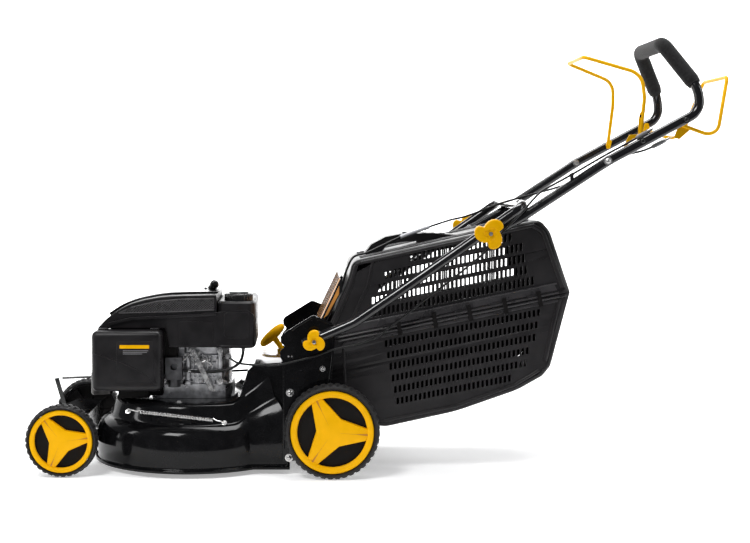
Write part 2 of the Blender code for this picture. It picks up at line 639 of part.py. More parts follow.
def build_fuel_hose():
    route = [(-0.3180, -0.096, 0.2830), (-0.3185, -0.098, 0.268), (-0.326, -0.101, 0.247),
             (-0.350, -0.104, 0.232), (-0.385, -0.107, 0.226), (-0.430, -0.110, 0.227),
             (-0.4585, -0.112, 0.230)]
    pipe("fuel_hose", smooth_route(route, 0.012), 0.0035, "cable", 2)


BELT_Z = 0.1400
GEARBOX_PULLEY = (-0.172, 0.0)


def build_drive():
    turned("blade_adapter", [(0.0130, 0.0380), (0.0260, 0.0380), (0.0260, 0.0440),
                             (0.0200, 0.0480), (0.0200, 0.1300), (0.0280, 0.1310),
                             (0.0280, 0.1330), (0.0220, 0.1375), (0.0220, 0.1425),
                             (0.0280, 0.1470), (0.0280, 0.1490), (0.0130, 0.1490)],
           (ENGINE_X, 0, 0), "Z", "cast", steps=20)
    half = BLADE_LENGTH / 2
    blade = block("blade", (ENGINE_X - half, -0.026, 0.0345), (ENGINE_X + half, 0.026, 0.0377),
                  "steel")
    for label, s in (("a", -1), ("b", 1)):
        x0, x1 = sorted((ENGINE_X + s * (half - 0.075), ENGINE_X + s * half))
        y0, y1 = sorted((s * 0.0235, s * 0.026))
        wing = [(y0, 0.0350), (y1, 0.0350), (y1 + s * 0.006, 0.0500), (y0 + s * 0.006, 0.0500)]
        join(blade, prism("CUT_wing_" + label, wing, "X", x0, x1, "steel"))
    cut(blade, rod("CUT_blade_hole", (ENGINE_X, 0, 0.02), (ENGINE_X, 0, 0.05), 0.0056, sides=16))
    turned("blade_bolt", [(0.0, 0.0250), (0.0095, 0.0250), (0.0095, 0.0312), (0.0170, 0.0314),
                          (0.0170, 0.0342), (0.0052, 0.0342), (0.0052, 0.0445), (0.0, 0.0445)],
           (ENGINE_X, 0, 0), "Z", "steel", steps=12)

    x, z = REAR_PIVOT
    gearbox = prism("gearbox", [(x - 0.034, z - 0.022), (x + 0.018, z - 0.022),
                                (x + 0.024, z - 0.008), (x + 0.024, z + 0.012),
                                (x + 0.010, z + 0.0265), (x - 0.034, z + 0.0265)],
                    "Y", -0.034, 0.034, "cast")
    cut(gearbox, rod("CUT_gearbox_bore", (x, -0.05, z), (x, 0.05, z), 0.0077, sides=16))
    turned("gearbox_pulley", [(0.0, z + 0.0272), (0.012, z + 0.0272), (0.012, 0.1330),
                              (0.0460, 0.1330), (0.0400, 0.1375), (0.0400, 0.1425),
                              (0.0460, 0.1465), (0.0, 0.1465)],
           (*GEARBOX_PULLEY, 0), "Z", "plastic", steps=24)
    belt_small, belt_large = 0.0262, 0.0442
    span = GEARBOX_PULLEY[0] - ENGINE_X
    lean = math.asin((belt_large - belt_small) / span)
    rings = []
    for centre, radius, start, end in ((GEARBOX_PULLEY[0], belt_large, -90 - math.degrees(lean),
                                        90 + math.degrees(lean)),
                                       (ENGINE_X, belt_small, 90 + math.degrees(lean),
                                        270 - math.degrees(lean))):
        for k in range(11):
            a = math.radians(start + (end - start) * k / 10)
            out = (math.cos(a), math.sin(a))
            rings.append([(centre + out[0] * (radius + r), out[1] * (radius + r), BELT_Z + h)
                          for r, h in ((-0.0035, -0.0022), (0.0015, -0.0038),
                                       (0.0015, 0.0038), (-0.0035, 0.0022))])
    loft("drive_belt", rings, "rubber", closed=True)

    shaft = rod("drive_shaft", (x, -0.2165, z), (x, 0.2165, z), 0.0075, sides=16)
    for side, s in sides():
        teeth = []
        for k in range(20):
            a = 2 * math.pi * k / 20
            r = 0.0108 if k % 2 else 0.0088
            teeth.append((x + r * math.cos(a), z + r * math.sin(a)))
        low, high = sorted((s * 0.2045, s * 0.2160))
        join(shaft, prism("CUT_pinion_" + side, teeth, "Y", low, high, "steel"))


# ---- handle -----------------------------------------------------------------
def mirrored(points):
    """A route from the left side over the middle to the right side."""
    return [tuple(p) for p in points] + [(x, -y, z) for x, y, z in reversed(points)]


def build_lower_handle():
    y = LOWER_TUBE_Y
    half = [(-0.176, -y, 0.3020), (-0.062, -y, 0.3515), (0.030, -y, 0.4145),
            (0.3195, -y, 0.6175)]
    route = bent(mirrored(half), [0.12, 0.20, 0.03, 0.03, 0.20, 0.12], 3)
    pipe("lower_handle", route, LOWER_TUBE_R, "gloss_black", 3)


def build_upper_handle():
    y = UPPER_TUBE_Y
    half = [(0.2270, -y, 0.5385), (0.3195, -y, 0.5900), (0.5120, -y, 0.7165),
            (0.7180, -y, 0.8280), (0.7130, -0.1790, 0.8800), (0.6500, -0.1080, 0.9850)]
    route = bent(mirrored(half), [0.3, 0.3, 0.055, 0.055, 0.03, 0.03, 0.055, 0.055, 0.3, 0.3], 3)
    pipe("upper_handle", route, UPPER_TUBE_R, "gloss_black", 3)
    start = Vector((0.7130, -0.1790, 0.8800)).lerp(Vector((0.6500, -0.1080, 0.9850)), 0.14)
    sleeve = mirrored([tuple(start), (0.6500, -0.1080, 0.9850)])
    path = bent(sleeve, [0.03, 0.03], 3)
    tube_shell("foam_grip", path, UPPER_TUBE_R + 0.0012, GRIP_R, "foam")


def tube_shell(name, path, inner, outer, kind, sides_count=10):
    """A hollow sleeve that follows a path, open at both ends."""
    rings = []
    normal = None
    for k, p in enumerate(path):
        a = path[max(k - 1, 0)]
        b = path[min(k + 1, len(path) - 1)]
        tangent = (b - a).normalized()
        if normal is None:
            normal = tangent.cross(Vector((0, 0, 1))).normalized()
        normal = (normal - tangent * normal.dot(tangent)).normalized()
        rings.append((p, normal.copy(), tangent.cross(normal)))

    def circle(item, radius):
        p, n, b = item
        return [tuple(p + n * (radius * math.cos(t)) + b * (radius * math.sin(t)))
                for t in (2 * math.pi * i / sides_count for i in range(sides_count))]
    outside = [circle(r, outer) for r in rings]
    inside = [circle(r, inner) for r in reversed(rings)]
    return loft(name, outside + inside, kind, closed=True)


def knob_outline(radius, phase):
    """Three swept lobes with a step behind each, like a pinwheel."""
    points = []
    for k in range(3):
        a = phase + 2 * math.pi * k / 3
        for turn, r in ((0.0, 0.62), (0.12, 0.88), (0.38, 0.99), (0.72, 1.0), (1.10, 0.92),
                        (1.50, 0.76), (1.90, 0.60)):
            points.append((radius * r * math.cos(a + turn), radius * r * math.sin(a + turn)))
    return points


def build_knobs():
    rows = (("upper", UPPER_KNOB, 0.033, 0.2185, 0.3), ("lower", LOWER_KNOB, 0.0265, 0.2185, 0.9))
    for label, (x, z), radius, inner, phase in rows:
        for side, s in sides():
            outline = [(x + px, z + pz) for px, pz in knob_outline(radius, phase)]
            low, high = sorted((s * inner, s * (inner + 0.0165)))
            prism("%s_knob_%s" % (label, side), outline, "Y", low, high, "yellow")


def build_bails():
    y = UPPER_TUBE_Y - UPPER_TUBE_R - 0.0006
    x, z = BRAKE_PIVOT
    leg = [(x, -y, z), (x, -y + 0.0055, z), (x + 0.001, -y + 0.0062, z + 0.010),
           (0.5950, -0.160, 0.8600), (0.5850, -0.145, 0.9150), (0.4717, -0.095, 0.9571)]
    route = bent(mirrored(leg), [0.004, 0.004, 0.03, 0.03, 0.02, 0.02, 0.03, 0.03, 0.004, 0.004],
                 3)
    pipe("brake_bail", route, BAIL_R, "yellow", 2)
    x, z = DRIVE_PIVOT
    leg = [(x, -y, z), (x, -y + 0.0055, z), (x - 0.004, -y + 0.0062, z - 0.020),
           (0.7000, -0.163, 0.7740), (0.7690, -0.158, 0.7800), (0.8040, -0.095, 0.9112)]
    route = bent(mirrored(leg), [0.004, 0.004, 0.01, 0.02, 0.02, 0.02, 0.02, 0.01, 0.004, 0.004],
                 3)
    pipe("drive_bail", route, BAIL_R, "yellow", 2)


CABLE_SPLIT = 0.160               # X where each cable's two halves meet


def build_cables():
    brake = [(0.6020, -0.178, 0.7830), (0.5600, -0.182, 0.7590), (0.5120, -0.183, 0.7335),
             (0.4300, -0.184, 0.6860), (0.3900, -0.186, 0.6640), (0.3600, -0.196, 0.6480),
             (0.3350, -0.212, 0.6260), (0.3150, -0.2215, 0.6040), (0.2950, -0.2225, 0.5840),
             (0.2790, -0.2150, 0.5655), (0.2560, -0.2075, 0.5400), (0.2331, -0.2040, 0.5115),
             (CABLE_SPLIT, -0.197, 0.450),
             (0.0849, -0.1820, 0.3900), (0.0300, -0.1780, 0.3450), (-0.0100, -0.1830, 0.3170),
             (-0.0600, -0.1950, 0.3000), (-0.1100, -0.1980, 0.2890), (-0.1482, -0.198, 0.2750),
             (-0.2000, -0.1980, 0.2620), (-0.2340, -0.1975, 0.2545), (-0.2560, -0.182, 0.2505),
             (-0.2792, -0.1560, 0.2478), (-0.3253, -0.1240, 0.2480), (-0.3450, -0.112, 0.2560),
             (-0.3560, -0.0965, 0.2600)]
    drive = [(0.6420, -0.1660, 0.7620), (0.6000, -0.1660, 0.7420), (0.5600, -0.1660, 0.7310),
             (0.5120, -0.1660, 0.7135), (0.4300, -0.1660, 0.6680), (0.3650, -0.155, 0.6460),
             (0.2870, -0.1150, 0.6220), (0.2060, -0.0850, 0.5900), (CABLE_SPLIT, -0.080, 0.578),
             (0.0620, -0.0850, 0.5450), (0.0100, -0.1050, 0.5230), (-0.0300, -0.128, 0.5060),
             (-0.0620, -0.1400, 0.4960), (-0.0790, -0.1425, 0.4620), (-0.0870, -0.1425, 0.4320),
             (-0.1040, -0.1425, 0.3930), (-0.1245, -0.1425, 0.3450), (-0.1332, -0.142, 0.3205),
             (-0.1410, -0.1425, 0.3080), (-0.1470, -0.1425, 0.2960), (-0.1475, -0.1425, 0.2800), (-0.1485, -0.1425, 0.2200), (-0.1490, -0.142, 0.1700),
             (-0.1475, -0.1280, 0.1400), (-0.1440, -0.0900, 0.1180), (-0.1400, -0.055, 0.1100),
             (-0.1400, -0.0368, 0.1090)]
    for name, route in (("brake_cable", brake), ("drive_cable", drive)):
        fine = smooth_route(route, 0.022)
        split = next(k for k, p in enumerate(fine) if p.x < CABLE_SPLIT)
        upper, lower = fine[:split], fine[split - 1:]
        step = (lower[1] - lower[0]).normalized() * GAP
        lower[0] = lower[0] + step
        pipe(name + "_upper", upper, CABLE_R, "cable", 2)
        pipe(name + "_lower", lower, CABLE_R, "cable", 2)


# ---- flap and grass box -----------------------------------------------------
def build_flap():
    x, z = FLAP_HINGE
    top = Vector((-0.0835, 0.4500))
    way = (top - Vector((x, z))).normalized()
    across = Vector((-way.y, way.x))
    near, far = Vector((x, z)) + way * 0.004, top
    outline = [near + across * 0.0062, far + across * 0.0062, far + across * 0.0030,
               near + across * 0.0030]
    flap = prism("rear_flap", [tuple(p) for p in outline], "Y", -0.148, 0.148, "gloss_black")
    barrel = rod("CUT_flap_barrel", (x, -0.148, z), (x, 0.148, z), 0.0068, sides=12)
    join(flap, barrel)
    join(flap, rod("CUT_flap_pin", (x, -0.194, z), (x, 0.158, z), 0.004, sides=10))
    for side, s in sides():
        low, high = sorted((s * 0.1456, s * 0.1480))
        cheek = [near + across * 0.0040, far + across * 0.0040, far - across * 0.010 - way * 0.03,
                 near - across * 0.001 + way * 0.030]
        join(flap, prism("CUT_flap_cheek_" + side, [tuple(p) for p in cheek], "Y", low, high,
                         "gloss_black"))


def rim(x, lift=0.0):
    return (x, RIM_FRONT[1] + (x - RIM_FRONT[0]) * RIM_SLOPE + lift)


def on_lid(x):
    """A point just clear of the upper shell's sloping top."""
    return (x, 0.4870 + (x + 0.062) * 0.2225 + GAP)


def inward(outline, distance):
    """The outline moved inward by distance, corner by corner (anticlockwise outline)."""
    area = sum(a[0] * b[1] - b[0] * a[1] for a, b in zip(outline, outline[1:] + outline[:1]))
    turn = 1 if area > 0 else -1
    out = []
    count = len(outline)
    for k in range(count):
        a, b, c = (Vector(outline[(k + d) % count]) for d in (-1, 0, 1))
        n0 = Vector((-(b - a).y, (b - a).x)).normalized() * turn
        n1 = Vector((-(c - b).y, (c - b).x)).normalized() * turn
        mitre = (n0 + n1).normalized()
        out.append(tuple(b + mitre * (distance / max(mitre.dot(n0), 0.3))))
    return out


def build_box():
    upper = [rim(-0.141, -0.004), rim(0.436, -0.004), (0.388, 0.5560), (0.365, 0.5820),
             (-0.062, 0.4870), (-0.076, 0.4350), (-0.116, 0.3450)]
    lower = [rim(0.438, 0.004), rim(-0.141, 0.004), (-0.141, 0.1850), (-0.040, 0.1160),
             (0.0095, 0.1035), (0.176, 0.140), (0.318, 0.190), (0.375, 0.2225), (0.393, 0.245),
             (0.423, 0.355)]
    wide = BOX_HALF - SHEET
    shell_top = prism("box_upper_shell", upper, "Y", -BOX_HALF, BOX_HALF, "plastic")
    band = [rim(-0.118, -0.004), rim(0.440, -0.004), rim(0.439, 0.008), rim(-0.114, 0.008)]
    join(shell_top, prism("CUT_upper_flange", band, "Y", -BOX_FLANGE, BOX_FLANGE, "plastic"))
    inside = inward(upper, SHEET)
    inside[0] = rim(-0.1380, -0.012)
    inside[1] = rim(0.4325, -0.012)
    cut(shell_top, prism("CUT_upper_inside", inside, "Y", -wide, wide, "plastic"))
    below = [rim(-0.20, GAP), rim(0.50, GAP), rim(0.50, -0.03), rim(-0.20, -0.03)]
    cut(shell_top, prism("CUT_upper_rim", below, "Y", -0.2, 0.2, "plastic"))

    shell_low = prism("box_lower_shell", lower, "Y", -BOX_HALF, BOX_HALF, "plastic")
    band = [rim(-0.118, 0.004), rim(-0.114, -0.008), rim(0.439, -0.008), rim(0.441, 0.004)]
    join(shell_low, prism("CUT_lower_flange", band, "Y", -BOX_FLANGE, BOX_FLANGE, "plastic"))
    inside = inward(lower, SHEET)
    inside[0] = rim(0.4340, 0.012)
    inside[1] = rim(-0.1385, 0.012)
    cut(shell_low, prism("CUT_lower_inside", inside, "Y", -wide, wide, "plastic"))
    above = [rim(-0.20, -GAP), rim(-0.20, 0.03), rim(0.50, 0.03), rim(0.50, -GAP)]
    cut(shell_low, prism("CUT_lower_rim", above, "Y", -0.2, 0.2, "plastic"))
    cut(shell_low, block("CUT_box_mouth", (-0.16, -0.140, 0.192), (-0.120, 0.140, 0.290)))

    arch = [on_lid(-0.036), (-0.013, 0.5240), (0.020, 0.5400), (0.055, 0.5450),
            (0.120, 0.5480), (0.186, 0.5430), on_lid(0.190), on_lid(0.098),
            (0.090, 0.5290), (0.020, 0.5200), on_lid(0.010)]
    prism("box_handle", arch, "Y", -0.034, 0.034, "plastic")


def main():
    clear_scene()
    build_deck()
    build_chute()
    build_side_plates()
    build_front_frame()
    build_wheels()
    build_height_adjust()
    build_spring()
    build_engine()
    build_shroud()
    build_fuel_hose()
    build_drive()
    build_lower_handle()
    build_upper_handle()
    build_knobs()
    build_bails()
    build_cables()
    build_flap()
    build_box()


main()
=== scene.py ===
"""Looks of the petrol lawn mower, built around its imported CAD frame. Metres, +Z up, front at -X."""
import math

import bmesh
import bpy
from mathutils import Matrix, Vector


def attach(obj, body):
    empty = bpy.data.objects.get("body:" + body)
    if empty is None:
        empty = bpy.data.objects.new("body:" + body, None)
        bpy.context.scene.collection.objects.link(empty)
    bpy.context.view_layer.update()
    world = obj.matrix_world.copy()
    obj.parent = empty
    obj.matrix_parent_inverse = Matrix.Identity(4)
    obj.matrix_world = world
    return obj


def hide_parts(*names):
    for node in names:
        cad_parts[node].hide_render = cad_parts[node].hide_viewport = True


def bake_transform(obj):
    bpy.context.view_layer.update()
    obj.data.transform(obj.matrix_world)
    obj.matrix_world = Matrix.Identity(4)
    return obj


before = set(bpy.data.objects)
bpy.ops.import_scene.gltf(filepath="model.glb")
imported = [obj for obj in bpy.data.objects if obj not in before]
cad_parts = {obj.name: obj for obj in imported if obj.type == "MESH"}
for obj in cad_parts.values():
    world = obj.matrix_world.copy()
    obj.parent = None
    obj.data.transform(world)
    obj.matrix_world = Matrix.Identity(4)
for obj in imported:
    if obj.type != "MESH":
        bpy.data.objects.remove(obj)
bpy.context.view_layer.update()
SIDES = (("left", -1), ("right", 1))


# ---- camera, floor and light -------------------------------------------------
def look(obj, target):
    way = Vector(target) - obj.location
    obj.rotation_euler = way.to_track_quat("-Z", "Y").to_euler()


def build_camera():
    data = bpy.data.cameras.new("camera")
    data.lens = 65.8
    data.sensor_width = 36.0
    data.shift_x = 0.0947
    data.clip_end = 50.0
    camera = bpy.data.objects.new("camera", data)
    camera.location = (-0.1754, -3.29, 0.678)
    camera.rotation_euler = (math.radians(90 - 3.9), 0, 0)
    bpy.context.scene.collection.objects.link(camera)
    bpy.context.scene.camera = camera


def area(name, place, target, size, watts, tall=None):
    data = bpy.data.lights.new(name, "AREA")
    data.energy = watts
    data.shape = "RECTANGLE"
    data.size = size
    data.size_y = tall or size
    light = bpy.data.objects.new(name, data)
    light.location = place
    bpy.context.scene.collection.objects.link(light)
    look(light, target)


def build_stage():
    scene = bpy.context.scene
    scene.view_settings.view_transform = "Standard"
    scene.view_settings.look = "None"
    world = bpy.data.worlds.new("room")
    world.use_nodes = True
    sky = world.node_tree.nodes["Background"]
    sky.inputs["Color"].default_value = (0.93, 0.95, 1.0, 1)
    sky.inputs["Strength"].default_value = 0.17
    scene.world = world
    front, back, bend, top = -0.9, 4.0, 1.5, 7.0
    points = [(front, 0.0), (back, 0.0)]
    points += [(back + bend * math.sin(a), bend - bend * math.cos(a))
               for a in (math.pi / 16 * k for k in range(1, 9))]
    points.append((back + bend, top))
    verts = [(x, y, z) for y, z in points for x in (-9.0, 9.0)]
    faces = [(2 * k, 2 * k + 1, 2 * k + 3, 2 * k + 2) for k in range(len(points) - 1)]
    mesh = bpy.data.meshes.new("studio_sweep")
    mesh.from_pydata(verts, [], faces)
    mesh.shade_smooth()
    sweep = bpy.data.objects.new("studio_sweep", mesh)
    scene.collection.objects.link(sweep)
    paper = bpy.data.materials.new("paper")
    paper.use_nodes = True
    shader = paper.node_tree.nodes["Principled BSDF"]
    for slot, value in (("Base Color", (0.97, 0.97, 0.97, 1)), ("Roughness", 0.9),
                        ("Specular IOR Level", 0.1), ("Emission Color", (1, 1, 1, 1)),
                        ("Emission Strength", 0.36)):
        shader.inputs[slot].default_value = value
    mesh.materials.append(paper)
    area("key", (-1.6, -2.2, 3.2), (-0.1, 0, 0.3), 1.1, 74)
    area("top", (0.2, 0.4, 3.0), (0.0, 0, 0.3), 2.0, 62, 0.9)
    area("left_strip", (-3.2, -0.4, 1.2), (-0.4, 0, 0.3), 0.3, 18, 2.0)
    area("right_strip", (3.2, -0.8, 1.6), (0.2, 0, 0.4), 0.5, 26, 2.2)
    area("wash", (0.0, 2.6, 3.4), (0.0, 5.4, 1.4), 4.5, 380, 1.0)


# ---- materials ---------------------------------------------------------------
def ramp(nodes, *stops):
    """A colour ramp with its two stops given as (position, colour)."""
    made = nodes.new("ShaderNodeValToRGB")
    for element, (position, colour) in zip(made.color_ramp.elements, stops):
        element.position = position
        element.color = (*colour, 1)
    return made


def noise(nodes, links, place, scale, detail):
    made = nodes.new("ShaderNodeTexNoise")
    made.inputs["Scale"].default_value = scale
    made.inputs["Detail"].default_value = detail
    links.new(place.outputs["Object"], made.inputs["Vector"])
    return made


def surface(name, colour, rough, metallic=0.0, grain=0.0, scale=900.0, vary=0.15, rough_vary=0.1,
            blotch=35.0, coat=0.0, edge=0.0, sheen=0.0, shine=0.5):
    """Principled material whose colour, roughness and fine relief come from noise; with edge, sharp
    convex edges also get a lighter colour as a painted highlight.
    """
    made = bpy.data.materials.new(name)
    made.use_nodes = True
    nodes, links = made.node_tree.nodes, made.node_tree.links
    shader = nodes["Principled BSDF"]
    for slot, value in (("Metallic", metallic), ("Specular IOR Level", shine), ("Coat Weight", coat),
                        ("Coat Roughness", 0.06), ("Sheen Weight", sheen)):
        shader.inputs[slot].default_value = value
    place = nodes.new("ShaderNodeTexCoord")
    patches = noise(nodes, links, place, blotch, 6.0)
    tint = ramp(nodes, (0.35, [c * (1 - vary) for c in colour]),
                (0.68, [min(c * (1 + vary) + 0.002, 1.0) for c in colour]))
    links.new(patches.outputs["Fac"], tint.inputs["Fac"])
    colour_out = tint.outputs["Color"]
    # Painted highlight: where pointiness marks a sharp convex edge the colour is lightened, as if the
    # edge caught the light.
    if edge:
        geometry = nodes.new("ShaderNodeNewGeometry")
        edge_highlight = ramp(nodes, (0.53, (0, 0, 0)), (0.62, (edge, edge, edge)))
        links.new(geometry.outputs["Pointiness"], edge_highlight.inputs["Fac"])
        mix = nodes.new("ShaderNodeMix")
        mix.data_type = "RGBA"
        mix.inputs[7].default_value = (*[min(c * 2.2 + 0.02, 1.0) for c in colour], 1)
        links.new(edge_highlight.outputs["Color"], mix.inputs[0])
        links.new(colour_out, mix.inputs[6])
        colour_out = mix.outputs[2]
    links.new(colour_out, shader.inputs["Base Color"])
    polish = nodes.new("ShaderNodeMapRange")
    for slot, value in (("From Min", 0.3), ("From Max", 0.7), ("To Min", max(rough - rough_vary, 0.03)),
                        ("To Max", min(rough + rough_vary, 1.0))):
        polish.inputs[slot].default_value = value
    links.new(patches.outputs["Fac"], polish.inputs["Value"])
    links.new(polish.outputs["Result"], shader.inputs["Roughness"])
    if grain:
        bump = nodes.new("ShaderNodeBump")
        bump.inputs["Strength"].default_value = grain
        bump.inputs["Distance"].default_value = 0.0004
        links.new(noise(nodes, links, place, scale, 3.0).outputs["Fac"], bump.inputs["Height"])
        links.new(bump.outputs["Normal"], shader.inputs["Normal"])
    return made


MAT = {"paint": surface("black_gloss_paint", (0.0035, 0.0035, 0.004), 0.13, grain=0.03, scale=420,
                     rough_vary=0.05, coat=0.1, edge=0.2, shine=0.14),
    "tube": surface("black_tube_paint", (0.004, 0.004, 0.005), 0.17, grain=0.02, scale=500,
                    rough_vary=0.05, coat=0.3, shine=0.45),
    "plastic": surface("black_grained_plastic", (0.008, 0.0073, 0.008), 0.4, grain=0.3, scale=1300,
                       edge=0.4, shine=0.28),
    "shroud": surface("shroud_plastic", (0.0085, 0.0076, 0.0086), 0.38, grain=0.22, scale=1500,
                      edge=0.4, shine=0.3),
    "gloss": surface("black_gloss_plastic", (0.004, 0.004, 0.004), 0.17, grain=0.03, scale=600,
                     rough_vary=0.06, coat=0.25, shine=0.4),
    "box": surface("box_plastic", (0.0085, 0.0076, 0.0084), 0.38, grain=0.3, scale=1100, edge=0.4,
                   shine=0.24),
    "yellow": surface("yellow_plastic", (0.88, 0.45, 0.0), 0.4, grain=0.06, scale=900, vary=0.04,
                      shine=0.1),
    # Darker yellow of the wheel stars' grooves: painted shade, not a second plastic.
    "painted_groove_shade": surface("yellow_plastic_groove_shade", (0.52, 0.2, 0.001), 0.5, grain=0.06, vary=0.05),
    "yellow_rod": surface("yellow_coated_rod", (0.88, 0.45, 0.0), 0.4, grain=0.1, scale=700, vary=0.06,
                          shine=0.1),
    "rubber": surface("tyre_rubber", (0.01, 0.0095, 0.01), 0.62, grain=0.35, scale=700, vary=0.25,
                      edge=0.5, shine=0.35),
    "foam": surface("foam_sleeve", (0.012, 0.0115, 0.012), 0.92, grain=0.9, scale=620, vary=0.35,
                    rough_vary=0.05, blotch=160, sheen=0.12, shine=0.2),
    "cast": surface("cast_aluminium", (0.5, 0.5, 0.515), 0.38, metallic=0.95, grain=0.75, scale=480,
                    vary=0.35, rough_vary=0.16, blotch=60, edge=0.4),
    "dark_cast": surface("dark_cast_aluminium", (0.1, 0.1, 0.105), 0.5, metallic=0.9, grain=0.75,
                         scale=480, vary=0.35, blotch=60),
    "steel": surface("zinc_steel", (0.56, 0.555, 0.55), 0.28, metallic=1.0, grain=0.12, scale=350,
                     vary=0.18, blotch=90),
    "dark_steel": surface("dark_steel", (0.085, 0.082, 0.08), 0.42, metallic=1.0, grain=0.3, scale=350,
                          vary=0.3, blotch=70),
    "cable": surface("cable_sheath", (0.006, 0.006, 0.006), 0.38, grain=0.12, scale=900, shine=0.35),
    "belt": surface("belt_rubber", (0.012, 0.0115, 0.0115), 0.75, grain=0.3, scale=800),
    "orange": surface("orange_label", (0.72, 0.3, 0.055), 0.42, grain=0.03, vary=0.08),
    "grey": surface("grey_print", (0.17, 0.17, 0.175), 0.45, grain=0.03, vary=0.12),
    "white": surface("white_tag", (0.62, 0.63, 0.66), 0.35, grain=0.03, vary=0.1),
    # Lighter plastic of the grille mesh; on the box's seam rails this colour is a painted highlight of
    # their lit ledge.
    "mesh": surface("grille_plastic_and_rail_highlight", (0.032, 0.03, 0.032), 0.32, grain=0.1, shine=0.5),
    "hidden": surface("inner_shadow_black", (0.0045, 0.0038, 0.0038), 0.65, grain=0.2, scale=600,
                      shine=0.15),
}


# ---- geometry tools ----------------------------------------------------------
def finish(name, bm, mat, body="chassis", nodes=(), bevel=0.0, segments=2, angle=35.0, smooth=40.0):
    """Turn a bmesh into a finished piece that rides on a body and stands for CAD nodes."""
    bmesh.ops.remove_doubles(bm, verts=bm.verts, dist=1e-6)
    bmesh.ops.recalc_face_normals(bm, faces=bm.faces)
    mesh = bpy.data.meshes.new(name)
    bm.to_mesh(mesh)
    bm.free()
    mesh.shade_smooth()
    mesh.set_sharp_from_angle(angle=math.radians(smooth))
    mesh.materials.append(MAT[mat])
    obj = bpy.data.objects.new(name, mesh)
    bpy.context.scene.collection.objects.link(obj)
    if bevel:
        soft = obj.modifiers.new("edges", "BEVEL")
        soft.width = bevel
        soft.segments = segments
        soft.limit_method = "ANGLE"
        soft.angle_limit = math.radians(angle)
    if body:
        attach(obj, body)
    if nodes:
        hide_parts(*nodes)
    return obj


def add(bm, verts, faces):
    made = [bm.verts.new(v) for v in verts]
    for face in faces:
        bm.faces.new([made[i] for i in face])


def add_loft(bm, rings, closed=False, caps=True):
    count = len(rings[0])
    faces = []
    for k in range(len(rings) if closed else len(rings) - 1):
        a, b = k * count, ((k + 1) % len(rings)) * count
        faces += [(a + i, a + (i + 1) % count, b + (i + 1) % count, b + i) for i in range(count)]
    if caps and not closed:
        faces.append(tuple(range(count))[::-1])
        faces.append(tuple(range((len(rings) - 1) * count, len(rings) * count)))
    add(bm, [v for ring in rings for v in ring], faces)


def add_prism(bm, outline, axis, low, high):
    """An outline pushed along axis: (x, z) for Y, (x, y) for Z and (y, z) for X."""
    place = {"X": lambda p, h: (h, p[0], p[1]), "Y": lambda p, h: (p[0], h, p[1]),
             "Z": lambda p, h: (p[0], p[1], h)}[axis]
    add_loft(bm, [[place(p, h) for p in outline] for h in (low, high)])


def add_box(bm, low, high):
    add_prism(bm, [(low[0], low[1]), (high[0], low[1]), (high[0], high[1]), (low[0], high[1])], "Z",
              low[2], high[2])


def add_turned(bm, profile, centre, way, steps=32):
    """Spin a (radius, height) profile about the direction way; off the axis it closes on itself."""
    along = Vector(way).normalized()
    across = along.orthogonal().normalized()
    up = along.cross(across)
    verts, faces = [], []
    count = len(profile)
    for k in range(steps):
        a = 2 * math.pi * k / steps
        out = across * math.cos(a) + up * math.sin(a)
        verts += [Vector(centre) + out * r + along * h for r, h in profile]
        here, there = k * count, ((k + 1) % steps) * count
        for i in range(count if profile[0][0] > 0 else count - 1):
            j = (i + 1) % count
            faces.append((here + i, here + j, there + j, there + i))
    add(bm, verts, faces)


def disc(radius, tall, base=0.0):
    """Profile of a plain disc for add_turned."""
    return [(0, base), (radius, base), (radius, base + tall), (0, base + tall)]


def bent(points, radii, steps=10):
    """A route with its inner corners rounded to the given radii."""
    pts = [Vector(p) for p in points]
    out = [pts[0]]
    for k in range(1, len(pts) - 1):
        before, here, after = pts[k - 1], pts[k], pts[k + 1]
        d0, d1 = (before - here).normalized(), (after - here).normalized()
        half = d0.angle(d1) / 2
        radius = radii[k - 1] if isinstance(radii, (list, tuple)) else radii
        reach = radius / math.tan(half)
        limit = 0.49 * min((before - here).length, (after - here).length)
        if reach > limit:
            reach, radius = limit, limit * math.tan(half)
        centre = here + (d0 + d1).normalized() * (radius / math.sin(half))
        start, end = here + d0 * reach, here + d1 * reach
        for s in range(steps + 1):
            mix = start.lerp(end, s / steps)
            out.append(centre + (mix - centre).normalized() * radius)
    out.append(pts[-1])
    return out


def smooth_route(points, per=10):
    """Catmull-Rom points through a route."""
    pts = [Vector(p) for p in points]
    pts = [2 * pts[0] - pts[1]] + pts + [2 * pts[-1] - pts[-2]]
    out = []
    for k in range(1, len(pts) - 2):
        p0, p1, p2, p3 = pts[k - 1:k + 3]
        for s in range(per):
            t = s / per
            out.append(0.5 * ((2 * p1) + (p2 - p0) * t + (2 * p0 - 5 * p1 + 4 * p2 - p3) * t ** 2
                              + (3 * p1 - p0 - 3 * p2 + p3) * t ** 3))
    out.append(pts[-2])
    return out


def flat_curve(points, per):
    """A smooth curve through (x, z) points."""
    return [tuple(p)[::2] for p in smooth_route([(x, 0, z) for x, z in points], per)]


def add_tube(bm, path, radius, sides=16, closed=False):
    """A round tube along a path; radius may be one number or one per point."""
    pts = [Vector(p) for p in path]
    normal = None
    rings = []
    for k, p in enumerate(pts):
        a = pts[k - 1] if k or closed else pts[0]
        b = pts[(k + 1) % len(pts)] if k + 1 < len(pts) or closed else pts[-1]
        tangent = (b - a).normalized()
        if normal is None:
            normal = tangent.orthogonal().normalized()
        normal = (normal - tangent * normal.dot(tangent)).normalized()
        side = tangent.cross(normal)
        r = radius[k] if isinstance(radius, (list, tuple)) else radius
        rings.append([p + normal * (r * math.cos(t)) + side * (r * math.sin(t))
                      for t in (2 * math.pi * i / sides for i in range(sides))])
    add_loft(bm, rings, closed=closed)


def add_flat_tube(bm, line, y, radius, sides=8):
    """A tube along (x, z) points that all lie at one y."""
    add_tube(bm, [(x, y, z) for x, z in line], radius, sides)


